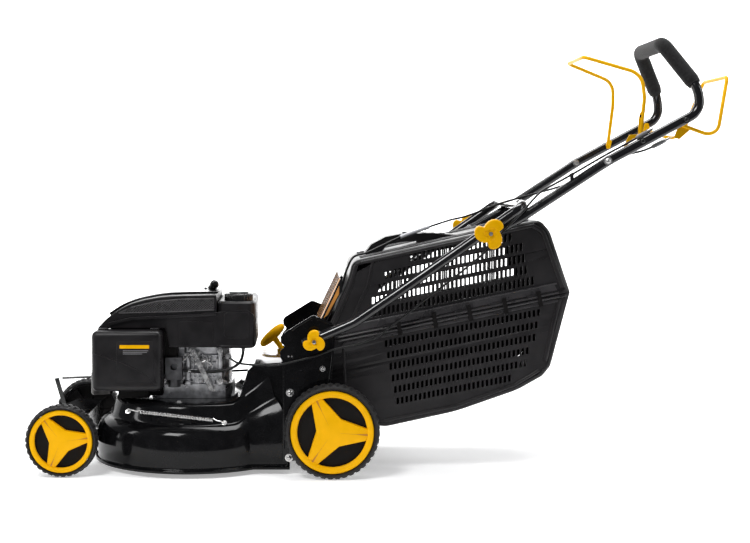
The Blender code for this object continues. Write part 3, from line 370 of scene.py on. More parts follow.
def add_bolt(bm, place, way, radius=0.006, tall=0.004, kind="dome"):
    """A bolt head with its washer, standing on a surface and pointing along way."""
    along = Vector(way).normalized()
    base = Vector(place)
    add_turned(bm, [(0, 0), (radius * 1.45, 0), (radius * 1.45, 0.001), (radius, 0.0012),
                    (0, 0.0012)], base, along, 20)
    if kind == "dome":
        profile = [(0, 0.0005)] + [(radius * math.cos(a), 0.001 + tall * math.sin(a))
                                   for a in (math.pi / 2 * k / 6 for k in range(6))]
        add_turned(bm, profile + [(0, 0.001 + tall)], base, along, 20)
    else:
        add_turned(bm, [(0, 0.0005), (radius, 0.0005), (radius, tall), (radius * 0.86, tall * 1.15),
                        (0, tall * 1.15)], base, along, 6)


def thicken(obj, thickness, offset=0.0):
    sheet = obj.modifiers.new("sheet", "SOLIDIFY")
    sheet.thickness = thickness
    sheet.offset = offset


def refined(node, mat, body, bevel=0.0012, segments=2, angle=30.0):
    """A copy of a CAD node with its edges rounded, standing for that node."""
    bm = bmesh.new()
    bm.from_mesh(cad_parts[node].data)
    bm.transform(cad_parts[node].matrix_world)
    bmesh.ops.remove_doubles(bm, verts=bm.verts, dist=2e-5)
    bmesh.ops.dissolve_limit(bm, angle_limit=math.radians(1.5), verts=bm.verts, edges=bm.edges)
    return finish(node + "_detail", bm, mat, body, [node], bevel, segments, angle)


def arched(half, radii, steps=12):
    """A bent route over the whole width of the mower, from its left half and its bends."""
    right = [(x, -y, z) for x, y, z in reversed(half)]
    return bent(half + right, radii + radii[::-1], steps)


# ---- wheels ------------------------------------------------------------------
def spun(centre, way, radius, angle, lift):
    """A point at a radius and angle about a wheel's axle, moved outward along it by lift."""
    return centre + Vector((radius * math.cos(angle), 0, radius * math.sin(angle))) + way * lift


def build_tyre(name, body, centre, way, radius, seat, width, blocks):
    """A tyre with two rows of tread blocks, half a block apart, and a moulded side ring."""
    deep = radius - 0.0035
    rows = ((seat, 0.005, 0), (radius * 0.89, 0.001, 0), (radius * 0.935, 0.0, 0),
            (radius - 0.004, 0.003, 1), (radius - 0.0008, 0.007, 1), (radius, width * 0.28, 1),
            (radius, width * 0.44, 1), (deep, width * 0.47, 0), (deep, width * 0.53, 0),
            (radius, width * 0.56, 2), (radius, width * 0.72, 2), (radius - 0.0008, width - 0.007, 2),
            (radius - 0.004, width - 0.003, 2), (radius * 0.945, width - 0.0004, 0),
            (radius * 0.928, width + 0.0004, 0), (radius * 0.916, width - 0.001, 0),
            (radius * 0.9, width - 0.001, 0), (radius * 0.886, width - 0.003, 0),
            (seat, width - 0.006, 0))
    rings = []
    for k in range(blocks * 6):
        low_rows = [row for row, at in ((1, k), (2, k + 3)) if at % 6 > 3]
        rings.append([spun(centre, way, min(r, deep) if row in low_rows else r,
                           2 * math.pi * k / (blocks * 6), h) for r, h, row in rows])
    bm = bmesh.new()
    add_loft(bm, rings, closed=True)
    finish(name + "_tread", bm, "rubber", body, [name + "_tyre"], smooth=35)


def build_disc(name, body, centre, way, edge, hole, web):
    """The dark rim behind the star, with nine ribs."""
    bm = bmesh.new()
    add_turned(bm, [(hole, 0.003), (hole + 0.01, 0.003), (hole + 0.011, web - 0.005),
                    (edge * 0.6, web - 0.002), (edge - 0.007, web - 0.005), (edge - 0.005, 0.006),
                    (edge, 0.006), (edge, web + 0.002), (edge * 0.6, web + 0.0016),
                    (hole, web + 0.0016)], centre, way, 72)
    for k in range(9):
        a = 2 * math.pi * k / 9
        c, d = math.cos(a), math.sin(a)
        rib = [(centre.x + r * c - t * d, centre.z + r * d + t * c)
               for r, t in ((hole + 0.008, 0.0012), (edge - 0.007, 0.0012), (edge - 0.007, -0.0012),
                            (hole + 0.008, -0.0012))]
        add_prism(bm, rib, "Y", centre.y + way.y * (web - 0.01), centre.y + way.y * (web - 0.003))
    finish(name + "_disc", bm, "hidden", body, bevel=0.0006)


def build_cap(name, body, centre, way, edge, web, width, turns):
    """The yellow ring with its three-armed star, and painted shade along each arm: a darker yellow
    strip standing for the shade in a groove.
    """
    bm = bmesh.new()
    add_turned(bm, [(edge * 0.85, web + 0.002), (edge * 0.995, web + 0.002),
                    (edge * 0.995, width - 0.0028), (edge * 0.975, width - 0.0008),
                    (edge * 0.925, width), (edge * 0.875, width - 0.0012),
                    (edge * 0.845, width - 0.0035), (edge * 0.835, width - 0.006)], centre, way, 96)
    tip, notch = math.radians(8), math.radians(60)
    p0 = Vector((0.9 * math.cos(tip), 0.9 * math.sin(tip)))
    p1 = Vector((0.38 * math.cos(notch), 0.38 * math.sin(notch)))
    flank = [p0.lerp(p1, k / 7) for k in range(7)]
    arm = [Vector((p.x, -p.y)) for p in reversed(flank)] + flank + [p1]

    def star(scale, lift):
        return [spun(centre, way, p.length * edge * scale, math.atan2(p.y, p.x) + turn, lift)
                for turn in turns for p in arm]
    top = width - 0.0035
    add_loft(bm, [star(1.0, web + 0.002), star(1.0, top - 0.0034), star(0.985, top - 0.0018),
                  star(0.96, top - 0.0008), star(0.7, top + 0.0006), star(0.3, top + 0.0016)])
    finish(name + "_cap", bm, "yellow", body, [name + "_hub"], smooth=32)
    # Painted shade: darker yellow strips along the arms stand for the shade in their grooves.
    bm = bmesh.new()
    wedge = [(0.9, -1.9), (0.95, 0.0), (0.9, 1.9), (0.56, 0.35), (0.2, 0.4), (0.2, -0.4), (0.56, -0.35)]
    for turn in turns:
        add_loft(bm, [[spun(centre, way, edge * r, math.radians(a) + turn, lift - fall * (r - 0.2))
                       for r, a in wedge] for lift, fall in ((top - 0.003, 0.0),
                                                             (top + 0.0019, 0.0022))])
    finish(name + "_groove_shade_strips", bm, "painted_groove_shade", body)


def build_wheel(prefix, side, s, axle, radius, inner, outer, tilt, blocks):
    body = "wheel_%s_%s" % (prefix, side)
    name = "%s_wheel_%s" % (prefix, side)
    way = Vector((0, s, 0))
    centre = Vector((axle[0], s * inner, axle[1]))
    width = outer - inner
    seat = radius * 0.875
    edge = seat - 0.0004
    web = width - 0.016
    hole = 0.0086 if prefix == "rear" else 0.0066
    build_tyre(name, body, centre, way, radius, seat, width, blocks)
    build_disc(name, body, centre, way, edge, hole, web)
    turns = [tilt + math.radians(120 * arm) for arm in range(3)]
    build_cap(name, body, centre, way, edge, web, width, turns)


def build_wheels():
    for side, s in SIDES:
        build_wheel("rear", side, s, (-0.112, 0.108), 0.108, 0.202, 0.25, -0.07, 40)
        build_wheel("front", side, s, (-0.726, 0.0825), 0.0825, 0.182, 0.224, 0.13, 34)


# ---- grass box ---------------------------------------------------------------
BOX_HALF = 0.151
BOX_WALL = 0.0026
SLOT_PITCH = 0.0105
RIM = (-0.141, 0.2985)
TILT = math.radians(11.6)
UP = Vector((-math.sin(TILT), math.cos(TILT)))
RUN = Vector((math.cos(TILT), math.sin(TILT)))


def to_uv(x, z):
    p = Vector((x - RIM[0], z - RIM[1]))
    return p.dot(RUN), p.dot(UP)


def from_uv(u, v):
    p = Vector(RIM) + RUN * u + UP * v
    return p.x, p.y


def rounded(points, radius, steps=5, closed=True):
    """Corner-rounded outline of (x, z) points."""
    loop = [Vector((x, 0, z)) for x, z in points]
    if closed:
        loop = [loop[-1].lerp(loop[0], 0.5)] + loop + [loop[-1].lerp(loop[0], 0.5)]
    out = bent(loop, radius, steps)
    return [(p.x, p.z) for p in (out[:-1] if closed else out)]


def panel(x0, z0, x1, z1, radius, steps):
    """A rectangle in (x, z) with rounded corners."""
    return rounded([(x0, z0), (x1, z0), (x1, z1), (x0, z1)], radius, steps)


def span(outline, v):
    """Lowest and highest u of an outline at height v."""
    hits = []
    for (u0, v0), (u1, v1) in zip(outline, outline[1:] + outline[:1]):
        if (v0 - v) * (v1 - v) <= 0 and abs(v1 - v0) > 1e-9:
            hits.append(u0 + (u1 - u0) * (v - v0) / (v1 - v0))
    return (min(hits), max(hits)) if len(hits) > 1 else None


def slotted_side(name, outline, rows, y, first, wide, margin):
    """A moulded side wall with rows of through slots from u = first on.

    The rows are (low, high) heights above the seam. Each slot stands upright.
    """
    shape = [to_uv(*p) for p in outline]
    levels = sorted({v for _, v in shape})
    bottom, top = levels[0] + 1e-5, levels[-1] - 1e-5
    cuts = {bottom, top}.union(*rows)
    cuts.update(v for v in levels if not any(low < v < high for low, high in rows))
    cuts = sorted(v for v in cuts if bottom <= v <= top)
    bm = bmesh.new()
    verts, faces = [], []

    def corner(u, v):
        x, z = from_uv(u, v)
        verts.append((x, y, z))
        return len(verts) - 1
    for low, high in zip(cuts, cuts[1:]):
        if high - low < 1e-6:
            continue
        a, b = span(shape, low), span(shape, high)
        if not a or not b:
            continue
        open_row = any(abs(low - r[0]) < 1e-6 and abs(high - r[1]) < 1e-6 for r in rows)
        left, right = max(a[0], b[0]) + margin, min(a[1], b[1]) - margin
        k = math.ceil(max(left, first) / SLOT_PITCH)
        prev = (a[0], b[0])
        lean = (high - low) * math.tan(TILT)
        while open_row and k * SLOT_PITCH + wide < right:
            u = k * SLOT_PITCH
            faces.append((corner(prev[0], low), corner(u, low), corner(u + lean, high),
                          corner(prev[1], high)))
            prev = (u + wide, u + wide + lean)
            k += 1
        faces.append((corner(prev[0], low), corner(a[1], low), corner(b[1], high),
                      corner(prev[1], high)))
    add(bm, verts, faces)
    obj = finish(name, bm, "box", "grass_box")
    obj.data.shade_flat()
    thicken(obj, BOX_WALL)


def wall(name, path, nodes):
    """The box's curved wall between its two sides: a path of (x, z) swept across."""
    bm = bmesh.new()
    rows = []
    for k in range(9):
        a = math.pi / 2 * k / 8
        rows.append((0.01 * (1 - math.sin(a)), -BOX_HALF + 0.01 * (1 - math.cos(a))))
    rows += [(o, -y) for o, y in reversed(rows)]
    verts, faces = [], []
    for inset, y in rows:
        verts += [(x, y, z) for x, z in inset_outline(path, inset)]
    n = len(path)
    for r in range(len(rows) - 1):
        faces += [(r * n + i, r * n + i + 1, (r + 1) * n + i + 1, (r + 1) * n + i)
                  for i in range(n - 1)]
    add(bm, verts, faces)
    obj = finish(name, bm, "box", "grass_box", nodes)
    thicken(obj, BOX_WALL)


def build_box():
    upper = [(0.436, 0.4165), (0.388, 0.556), (0.365, 0.582), (-0.062, 0.487), (-0.076, 0.435),
             (-0.116, 0.345), (-0.1405, 0.299)]
    path = rounded(upper, [0.05, 0.022, 0.022, 0.1, 0.05], 6, closed=False)
    wall("box_upper_wall", path, ["box_upper_shell"])
    lower = [(-0.1405, 0.2975), (-0.1405, 0.185), (-0.04, 0.116), (0.0095, 0.1035), (0.176, 0.14),
             (0.318, 0.19), (0.375, 0.2225), (0.393, 0.245), (0.436, 0.416)]
    low_path = rounded(lower, [0.04, 0.05, 0.06, 0.4, 0.2, 0.03, 0.03], 6, closed=False)
    wall("box_lower_wall", low_path, ["box_lower_shell"])
    up_rows = [(0.034 + 0.027 * k, 0.052 + 0.027 * k) for k in range(5)]
    low_rows = [(-0.0396 - 0.0272 * k, -0.0244 - 0.0272 * k) for k in range(6)]
    for label, line, rows, first, wide, margin in (
            ("upper", path, up_rows, 0.0, 0.0062, 0.062),
            ("lower", low_path, low_rows, 0.146, 0.006, 0.044)):
        for side, s in SIDES:
            slotted_side("box_%s_side_%s" % (label, side), inset_outline(line, 0.0098), rows,
                         s * BOX_HALF, first, wide, margin)
    # A dark sheet inside the far wall of the lower half: painted shade, seen through the slots where
    # the box's inside lies in shade.
    bm = bmesh.new()
    add_prism(bm, inset_outline(low_path, 0.0125), "Y", 0.1465, 0.148)
    finish("box_lower_slot_shade", bm, "hidden", "grass_box", bevel=0.0004)
    build_box_bands()
    build_box_seam()
    build_box_ribs()
    build_box_handle()


def build_box_bands():
    """The flanges of both halves, one above and one below the seam, with their humps."""
    band = [(0.0, 0.0), (0.0055, 0.0), (0.0075, 0.002), (0.0075, 0.0065), (0.0055, 0.0085),
            (0.0, 0.0085)]
    for label, sign in (("upper", 1), ("lower", -1)):
        bm = bmesh.new()
        corners = [(0.03, -0.1505), (0.579, -0.1505), (0.579, 0.1505), (0.03, 0.1505)]
        route = bent([(u, y, 0) for u, y in corners], [0.012, 0.012], 8)
        rings = []
        for k, p in enumerate(route):
            a, b = route[max(k - 1, 0)], route[min(k + 1, len(route) - 1)]
            d = (b - a).normalized()
            out = Vector((d.y, -d.x, 0))
            ring = []
            for o, h in band:
                edge = p + out * o
                x, z = from_uv(edge.x, sign * (h + 0.0002))
                ring.append((x, edge.y, z))
            rings.append(ring)
        add_loft(bm, rings)
        for u in (0.165, 0.25, 0.335, 0.42, 0.505):
            hump = [from_uv(u + o, sign * h) for o, h in ((-0.016, 0.001), (-0.013, 0.0105),
                                                          (0.013, 0.0105), (0.016, 0.001))]
            for s in (-1, 1):
                add_prism(bm, hump, "Y", s * 0.15, s * 0.1592)
        finish("box_%s_band" % label, bm, "box", "grass_box", bevel=0.0008)


def build_box_seam():
    """Rails along the seam and the clips that hold the two halves together."""
    for side, s in SIDES:
        bm = bmesh.new()
        for v0, v1, proud in ((0.0095, 0.025, 0.1555), (-0.0165, -0.0095, 0.155)):
            add_prism(bm, [from_uv(0.052, v0), from_uv(0.56, v0), from_uv(0.556, v1),
                           from_uv(0.058, v1)], "Y", s * 0.15, s * proud)
        for v, half in ((0.0262, 0.0022), (0.0045, 0.002), (-0.0045, 0.002)):
            route = [from_uv(0.045, v), from_uv(0.3, v), from_uv(0.562, v)]
            proud = 0.1545 if v > 0.02 else 0.1582
            add_flat_tube(bm, route, s * proud, half, 10)
        # Painted highlight: the rails take the lighter grille colour, standing for the light on the
        # ledge of the dark box plastic.
        finish("box_rails_" + side, bm, "mesh", "grass_box", bevel=0.001)
        bm = bmesh.new()
        for x in (0.043, 0.125, 0.205, 0.286, 0.365):
            u = (x - RIM[0]) / math.cos(TILT)
            clip = [from_uv(u + o, v) for o, v in ((-0.005, -0.019), (0.005, -0.019), (0.005, 0.017),
                                                   (-0.005, 0.017))]
            add_prism(bm, clip, "Y", s * 0.15, s * 0.1606)
        finish("box_clips_" + side, bm, "hidden", "grass_box", bevel=0.0012)


def inset_outline(path, inset):
    """An open (x, z) path moved to its left by inset."""
    pts = [Vector(p) for p in path]
    out = []
    for k in range(len(pts)):
        d = (pts[min(k + 1, len(pts) - 1)] - pts[max(k - 1, 0)]).normalized()
        out.append((pts[k].x - d.y * inset, pts[k].y + d.x * inset))
    return out


def build_box_ribs():
    """Raised frame members on both sides of the box and the moulded ribs of its lid."""
    bm = bmesh.new()
    for s in (-1, 1):
        for line, half in (([(-0.118, 0.318), (-0.07, 0.425), (-0.056, 0.478)], 0.0045),
                ([(-0.082, 0.318), (-0.03, 0.43), (-0.018, 0.486)], 0.0035),
                ([(0.418, 0.428), (0.372, 0.556), (0.35, 0.568)], 0.005),
                ([(-0.044, 0.484), (0.352, 0.57)], 0.004),
                ([(-0.118, 0.29), (-0.118, 0.188), (-0.035, 0.13), (0.01, 0.118)], 0.0045),
                ([(-0.085, 0.296), (-0.08, 0.185), (-0.03, 0.145)], 0.0035),
                ([(0.01, 0.118), (0.174, 0.153), (0.312, 0.203), (0.366, 0.236)], 0.0045),
                ([(0.412, 0.4), (0.4, 0.352), (0.38, 0.258)], 0.005)):
            path = [Vector((x, s * 0.1515, z)) for x, z in line]
            if len(path) > 2:
                path = bent(path, 0.03, 6)
            add_tube(bm, path, half, 10)
    finish("box_side_ribs", bm, "box", "grass_box")
    bm = bmesh.new()
    for y in (-0.11, -0.075, 0.075, 0.11):
        add_flat_tube(bm, [(-0.045, 0.491), (0.15, 0.5344), (0.345, 0.5778)], y, 0.004, 10)
    finish("box_lid_ribs", bm, "box", "grass_box")


def build_box_handle():
    bm = bmesh.new()
    arch = [(-0.036, 0.4931), (-0.016, 0.52), (0.018, 0.5385), (0.055, 0.5455), (0.12, 0.548),
            (0.18, 0.544), (0.192, 0.5438), (0.098, 0.523), (0.09, 0.529), (0.055, 0.5262),
            (0.022, 0.519), (0.01, 0.5035)]
    add_prism(bm, rounded(arch, 0.01, 4), "Y", -0.034, 0.034)
    finish("box_lid_handle", bm, "box", "grass_box", ["box_handle"], bevel=0.004, segments=3)
    bm = bmesh.new()
    for k in range(5):
        x = 0.06 + 0.022 * k
        add_box(bm, (x, -0.024, 0.547 - 0.0004 * k), (x + 0.012, 0.024, 0.5496 - 0.0004 * k))
    finish("box_handle_pads", bm, "box", "grass_box", bevel=0.001)


# ---- deck --------------------------------------------------------------------
ENGINE_X = -0.44
PLATFORM_Z = 0.162
DECK_SHEET = 0.0024
PLATE_FACE = 0.1916


def deck_outline(inset, steps=96):
    """Plan of the deck moved inward by inset: round in front, straight behind."""
    radius, half, rear = 0.238 - inset, 0.186 - inset, -0.208 - inset
    meet = math.asin(half / radius)
    points = [(ENGINE_X + radius * math.cos(a), radius * math.sin(a))
              for a in (meet + (2 * math.pi - 2 * meet) * k / steps for k in range(steps + 1))]
    points += [(rear, half * (-1 + k / 5)) for k in range(11)]
    return points


def tail_rise(x):
    """How much higher the deck's upper edge is at x: it sweeps up to the tail."""
    t = min(max((x + 0.335) / 0.115, 0.0), 1.0)
    return 0.062 * t * t * (3 - 2 * t)


def deck_ring(inset, z, sweep):
    """The deck's outline at one height; sweep is the share of the tail's rise it takes part in."""
    return [(x, y, z + sweep * tail_rise(at[0]))
            for (x, y), at in zip(deck_outline(inset), deck_outline(0.0))]


def build_deck():
    outer = ((0.0, 0.011, 0), (0.0, 0.017, 0), (0.006, 0.021, 0), (0.004, 0.04, 0.03),
             (0.003, 0.06, 0.1), (0.006, 0.083, 0.35), (0.014, 0.101, 0.6), (0.026, 0.112, 0.8),
             (0.036, 0.119, 0.9), (0.043, 0.14, 1), (0.05, 0.156, 1), (0.06, PLATFORM_Z, 1))
    rings = [deck_ring(*row) for row in smooth_route(outer, 4)]
    for scale, sweep in ((0.85, 0.7), (0.72, 0.0), (0.48, 0.0), (0.28, 0.0)):
        rings.append([(ENGINE_X + scale * (x - ENGINE_X), scale * y, z)
                      for x, y, z in deck_ring(0.06, PLATFORM_Z, sweep)])
    bm = bmesh.new()
    add_loft(bm, rings, caps=False)
    deck = finish("deck_pressing", bm, "paint", smooth=60)
    thicken(deck, DECK_SHEET, -1.0)
    cut_tunnel(deck)
    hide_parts("deck_shell")
    build_deck_bolts()
    refined("discharge_chute", "paint", "chassis", 0.002, 3)


def cut_tunnel(deck):
    """Open the deck behind the blade, where the discharge chute stands in it."""
    bm = bmesh.new()
    add_box(bm, (-0.329, -0.1345, -0.02), (-0.15, 0.1345, 0.3))
    mesh = bpy.data.meshes.new("tunnel_void")
    bm.to_mesh(mesh)
    bm.free()
    cutter = bpy.data.objects.new("tunnel_void", mesh)
    bpy.context.scene.collection.objects.link(cutter)
    opening = deck.modifiers.new("tunnel", "BOOLEAN")
    opening.operation = "DIFFERENCE"
    opening.solver = "EXACT"
    opening.object = cutter
    graph = bpy.context.evaluated_depsgraph_get()
    flat = bpy.data.meshes.new_from_object(deck.evaluated_get(graph))
    deck.modifiers.clear()
    deck.data = flat
    bpy.data.objects.remove(cutter)


def build_deck_bolts():
    bm = bmesh.new()
    for angle in (35, 100, 150, 210, 262, 325):
        a = math.radians(angle)
        x, y = ENGINE_X + 0.165 * math.cos(a), 0.165 * math.sin(a)
        add_bolt(bm, (x, y, PLATFORM_Z + 0.0005), (0, 0, 1), 0.0055, 0.004, "hex")
    finish("deck_bolts", bm, "steel", smooth=30)


def build_plates():
    """Side plates with their bolts and the pressed edges of their flanges."""
    for side, s in SIDES:
        refined("side_plate_" + side, "paint", "chassis", 0.0008)
        bm = bmesh.new()
        face = s * PLATE_FACE
        for x, z, r in ((-0.2075, 0.1902, 0.0062), (-0.2097, 0.04, 0.0062), (-0.133, 0.245, 0.0045)):
            add_bolt(bm, (x, face, z), (0, s, 0), r, 0.0045)
        add_turned(bm, disc(0.0075, 0.0012), (-0.143, face, 0.324), (0, s, 0), 24)
        for x in (-0.2107, -0.2027):
            add_turned(bm, disc(0.0022, 0.0005), (x, face, 0.273), (0, s, 0), 14)
        finish("plate_bolts_" + side, bm, "steel", smooth=30)
        bm = bmesh.new()
        for line in (((-0.2205, 0.06), (-0.2205, 0.258)), ((-0.203, 0.332), (-0.157, 0.3605)),
                     ((-0.15, 0.36), (-0.11, 0.344), (-0.113, 0.27), (-0.122, 0.2))):
            add_flat_tube(bm, line, s * (PLATE_FACE + 0.0002), 0.0016)
        finish("plate_flanges_" + side, bm, "paint")
    refined("front_frame", "paint", "chassis", 0.0012)
    bm = bmesh.new()
    for s in (-1, 1):
        for z in (0.066, 0.104):
            add_bolt(bm, (-0.6855, s * 0.12, z), (-1, 0, 0), 0.0055, 0.004, "hex")
    finish("frame_bolts", bm, "steel", smooth=30)


def build_spring():
    """The coil spring that carries the weight while the height is set."""
    start, end = Vector((-0.5466, -0.2155, 0.15)), Vector((-0.3815, -0.2165, 0.131))
    way = (end - start).normalized()
    across = way.orthogonal().normalized()
    up = way.cross(across)
    turns, per_turn, coil = 46, 9, 0.004
    path = [(-0.5745, -0.2105, 0.156), (-0.566, -0.212, 0.1535), (-0.555, -0.214, 0.151)]
    length = (end - start).length
    for k in range(turns * per_turn + 1):
        a = 2 * math.pi * k / per_turn
        path.append(start + way * (length * k / (turns * per_turn))
                    + across * (coil * math.cos(a)) + up * (coil * math.sin(a)))
    path += [(-0.372, -0.216, 0.1295), (-0.362, -0.215, 0.128), (-0.357, -0.213, 0.1235)]
    bm = bmesh.new()
    add_tube(bm, path, 0.0012, 6)
    finish("height_spring_coil", bm, "steel", nodes=["height_spring"])
    bm = bmesh.new()
    add_bolt(bm, (-0.5745, -0.2085, 0.15), (0, -0.8, 0.6), 0.004, 0.003)
    add_bolt(bm, (-0.356, -0.21, 0.1235), (0, -0.8, 0.6), 0.004, 0.003)
    finish("spring_anchors", bm, "steel", smooth=30)


def build_height_parts():
    """Cranks, tie rod and height knob, then the drive under the deck and the rotor."""
    refined("rear_axle_crank", "gloss", "rear_crank", 0.0008)
    refined("front_axle_crank", "gloss", "front_crank", 0.0008)
    refined("tie_rod", "gloss", "height_link", 0.0005)
    bm = bmesh.new()
    centre, way = Vector((-0.256, 0.174, 0.28)), Vector((0.731, 0, 0.682))
    profile = [(0.0134 * math.sin(math.pi * k / 16) ** 0.7, -0.039 * math.cos(math.pi * k / 16))
               for k in range(1, 16)]
    add_turned(bm, [(0, -0.0395)] + profile + [(0, 0.0395)], centre, way, 32)
    add_tube(bm, [(-0.253, 0.174, 0.276), (-0.24, 0.174, 0.258), (-0.227, 0.174, 0.238),
                  (-0.22, 0.174, 0.224)], [0.0085, 0.007, 0.007, 0.0082], 20)
    finish("height_knob_grip", bm, "yellow", "rear_crank", ["height_knob"], smooth=50)
    refined("drive_shaft", "steel", "drive_axle", 0.0004)
    refined("gearbox", "dark_cast", "chassis", 0.003, 3)
    refined("gearbox_pulley", "plastic", "drive_pulley", 0.0008)
    refined("drive_belt", "belt", "chassis", 0.0006)
    refined("blade_adapter", "dark_cast", "rotor", 0.0008)
    refined("blade", "steel", "rotor", 0.0006)
    refined("blade_bolt", "steel", "rotor", 0.0006)
    refined("crankshaft", "steel", "rotor", 0.0006)
    refined("flywheel", "cast", "rotor", 0.001)
    refined("recoil_pulley", "plastic", "starter_pulley", 0.0008)


# ---- engine ------------------------------------------------------------------
def build_engine():
    refined("engine_sump", "cast", "chassis", 0.003, 3)
    refined("engine_block", "cast", "chassis", 0.0016, 2)
    refined("cylinder_head", "cast", "chassis", 0.001, 2)
    refined("carburettor", "dark_cast", "chassis", 0.0018, 2)
    refined("muffler", "dark_steel", "chassis", 0.003, 2, 20)
    refined("dipstick", "gloss", "oil_stick", 0.001)
    build_spark_plug()
    build_bosses()
    build_linkage()
    build_engine_bolts()
    build_fuel_hose()


def build_spark_plug():
    bm = bmesh.new()
    centre = Vector((-0.5965, 0.002, 0.2355))
    way = Vector((-1, 0, 0))
    add_turned(bm, [(0, -0.006), (0.0085, -0.006), (0.0085, 0.02), (0.0115, 0.021), (0.0115, 0.029),
                    (0.0075, 0.03)], centre, way, 6)
    finish("spark_plug_body", bm, "steel", nodes=["spark_plug"], bevel=0.0005)
    bm = bmesh.new()
    add_turned(bm, [(0, 0.029), (0.007, 0.029), (0.007, 0.044), (0.005, 0.0465),
                    (0, 0.0465)], centre, way, 24)
    finish("spark_plug_boot", bm, "plastic")


def build_bosses():
    """Screw columns, ribs and the round cover cast on the near side of the crankcase."""
    bm = bmesh.new()
    z0, z1 = 0.196, 0.283
    for x, r in ((-0.505, 0.0075), (-0.448, 0.008), (-0.372, 0.008)):
        add_turned(bm, disc(r, z1 - z0, z0), (x, -0.0925, 0), (0, 0, 1), 24)
        add_turned(bm, [(0, z0 - 0.002), (r * 1.6, z0 - 0.002), (r * 1.6, z0 + 0.006), (r, z0 + 0.01),
                        (0, z0 + 0.01)], (x, -0.0925, 0), (0, 0, 1), 24)
    for k in range(4):
        z = 0.21 + 0.017 * k
        add_box(bm, (-0.5, -0.0975, z), (-0.376, -0.09, z + 0.0035))
    for k in range(6):
        x = -0.436 + 0.011 * k
        add_box(bm, (x, -0.1, 0.2), (x + 0.0032, -0.0905, 0.276 - 0.004 * k))
    add_turned(bm, [(0, 0), (0.02, 0), (0.0205, 0.003), (0.017, 0.009), (0.009, 0.01),
                    (0, 0.01)], (-0.478, -0.092, 0.228), (0, -1, 0), 32)
    finish("crankcase_bosses", bm, "cast", bevel=0.0008)


def build_linkage():
    """The governor's strap, its two wires and the small spring between them."""
    bm = bmesh.new()
    strap = [(-0.443, 0.28), (-0.43, 0.28), (-0.384, 0.183), (-0.397, 0.183)]
    add_prism(bm, strap, "Y", -0.114, -0.112)
    add_prism(bm, [(-0.456, 0.262), (-0.418, 0.266), (-0.418, 0.272), (-0.456, 0.27)], "Y", -0.1035,
              -0.1015)
    finish("governor_strap", bm, "steel", bevel=0.0006)
    bm = bmesh.new()
    add_tube(bm, smooth_route([(-0.4957, -0.118, 0.2497), (-0.475, -0.118, 0.252),
                               (-0.4609, -0.116, 0.2497), (-0.448, -0.112, 0.262),
                               (-0.4375, -0.108, 0.2731)]), 0.0011, 8)
    add_tube(bm, smooth_route([(-0.452, -0.104, 0.268), (-0.43, -0.108, 0.245), (-0.405, -0.11, 0.252),
                               (-0.388, -0.108, 0.24)]), 0.001, 8)
    helix = [Vector((-0.428 + 0.0006 * k, -0.108 + 0.003 * math.cos(k * 0.9),
                     0.256 + 0.003 * math.sin(k * 0.9))) for k in range(60)]
    add_tube(bm, helix, 0.0006, 6)
    finish("throttle_linkage", bm, "steel")


def build_engine_bolts():
    bm = bmesh.new()
    for x, z in ((-0.437, 0.276), (-0.389, 0.186), (-0.505, 0.2755), (-0.372, 0.2755), (-0.372, 0.205),
                 (-0.505, 0.205), (-0.352, 0.262)):
        add_bolt(bm, (x, -0.1045, z), (0, -1, 0), 0.005, 0.0045, "hex")
    for x, y in ((-0.522, -0.086), (-0.358, -0.086), (-0.522, 0.076), (-0.358, 0.076)):
        add_bolt(bm, (x, y, 0.1965), (0, 0, 1), 0.0055, 0.005, "hex")
    finish("engine_bolts", bm, "steel", smooth=30)


def build_fuel_hose():
    route = [(-0.318, -0.096, 0.283), (-0.3185, -0.098, 0.268), (-0.326, -0.101, 0.247),
             (-0.35, -0.104, 0.232), (-0.385, -0.107, 0.226), (-0.43, -0.11, 0.227),
             (-0.4585, -0.112, 0.23)]
    fine = smooth_route(route, 12)
    bm = bmesh.new()
    add_tube(bm, fine, 0.0035, 16)
    finish("fuel_hose_tube", bm, "cable", nodes=["fuel_hose"])
    bm = bmesh.new()
    for k in (5, len(fine) - 8):
        d = (fine[k + 1] - fine[k]).normalized()
        add_turned(bm, [(0.0036, -0.003), (0.0044, -0.003), (0.0044, 0.003), (0.0036, 0.003)], fine[k],
                   d, 24)
    finish("hose_clamps", bm, "steel")


def shroud_outline(inset):
    """Top edge of the fan housing in (x, z), moved inward by inset."""
    return [(-0.655 + inset, 0.33 - 0.2 * inset), (-0.629 + inset, 0.356 - inset),
            (-0.598 + 0.6 * inset, 0.377 - inset), (-0.563, 0.392 - inset), (-0.516, 0.402 - inset),
            (-0.47, 0.406 - inset), (-0.378 - inset, 0.408 - inset)]


def build_shroud():
    """Fan housing, strip, cheeks, vents and tank above the engine."""
    bm = bmesh.new()
    outline = flat_curve(shroud_outline(0), 6) + [(-0.378, 0.286), (-0.489, 0.286), (-0.497, 0.33)]
    add_prism(bm, outline, "Y", -0.13, 0.13)
    finish("fan_housing", bm, "shroud", nodes=["blower_housing"], bevel=0.011, segments=5, angle=30)
    bm = bmesh.new()
    high, low = (flat_curve(shroud_outline(inset)[1:], 8) for inset in (-0.0052, 0.001))
    add_prism(bm, high + low[::-1], "Y", -0.085, 0.085)
    finish("shroud_strip", bm, "gloss", nodes=["shroud_top_cover"], bevel=0.0022, segments=3)
    build_grille()
    build_cheeks()
    refined("fuel_tank", "shroud", "chassis", 0.003, 3, 25)
    build_tank_seam()
    build_engine_gap_shade()
    build_fuel_cap()
    build_starter()
    build_air_box()


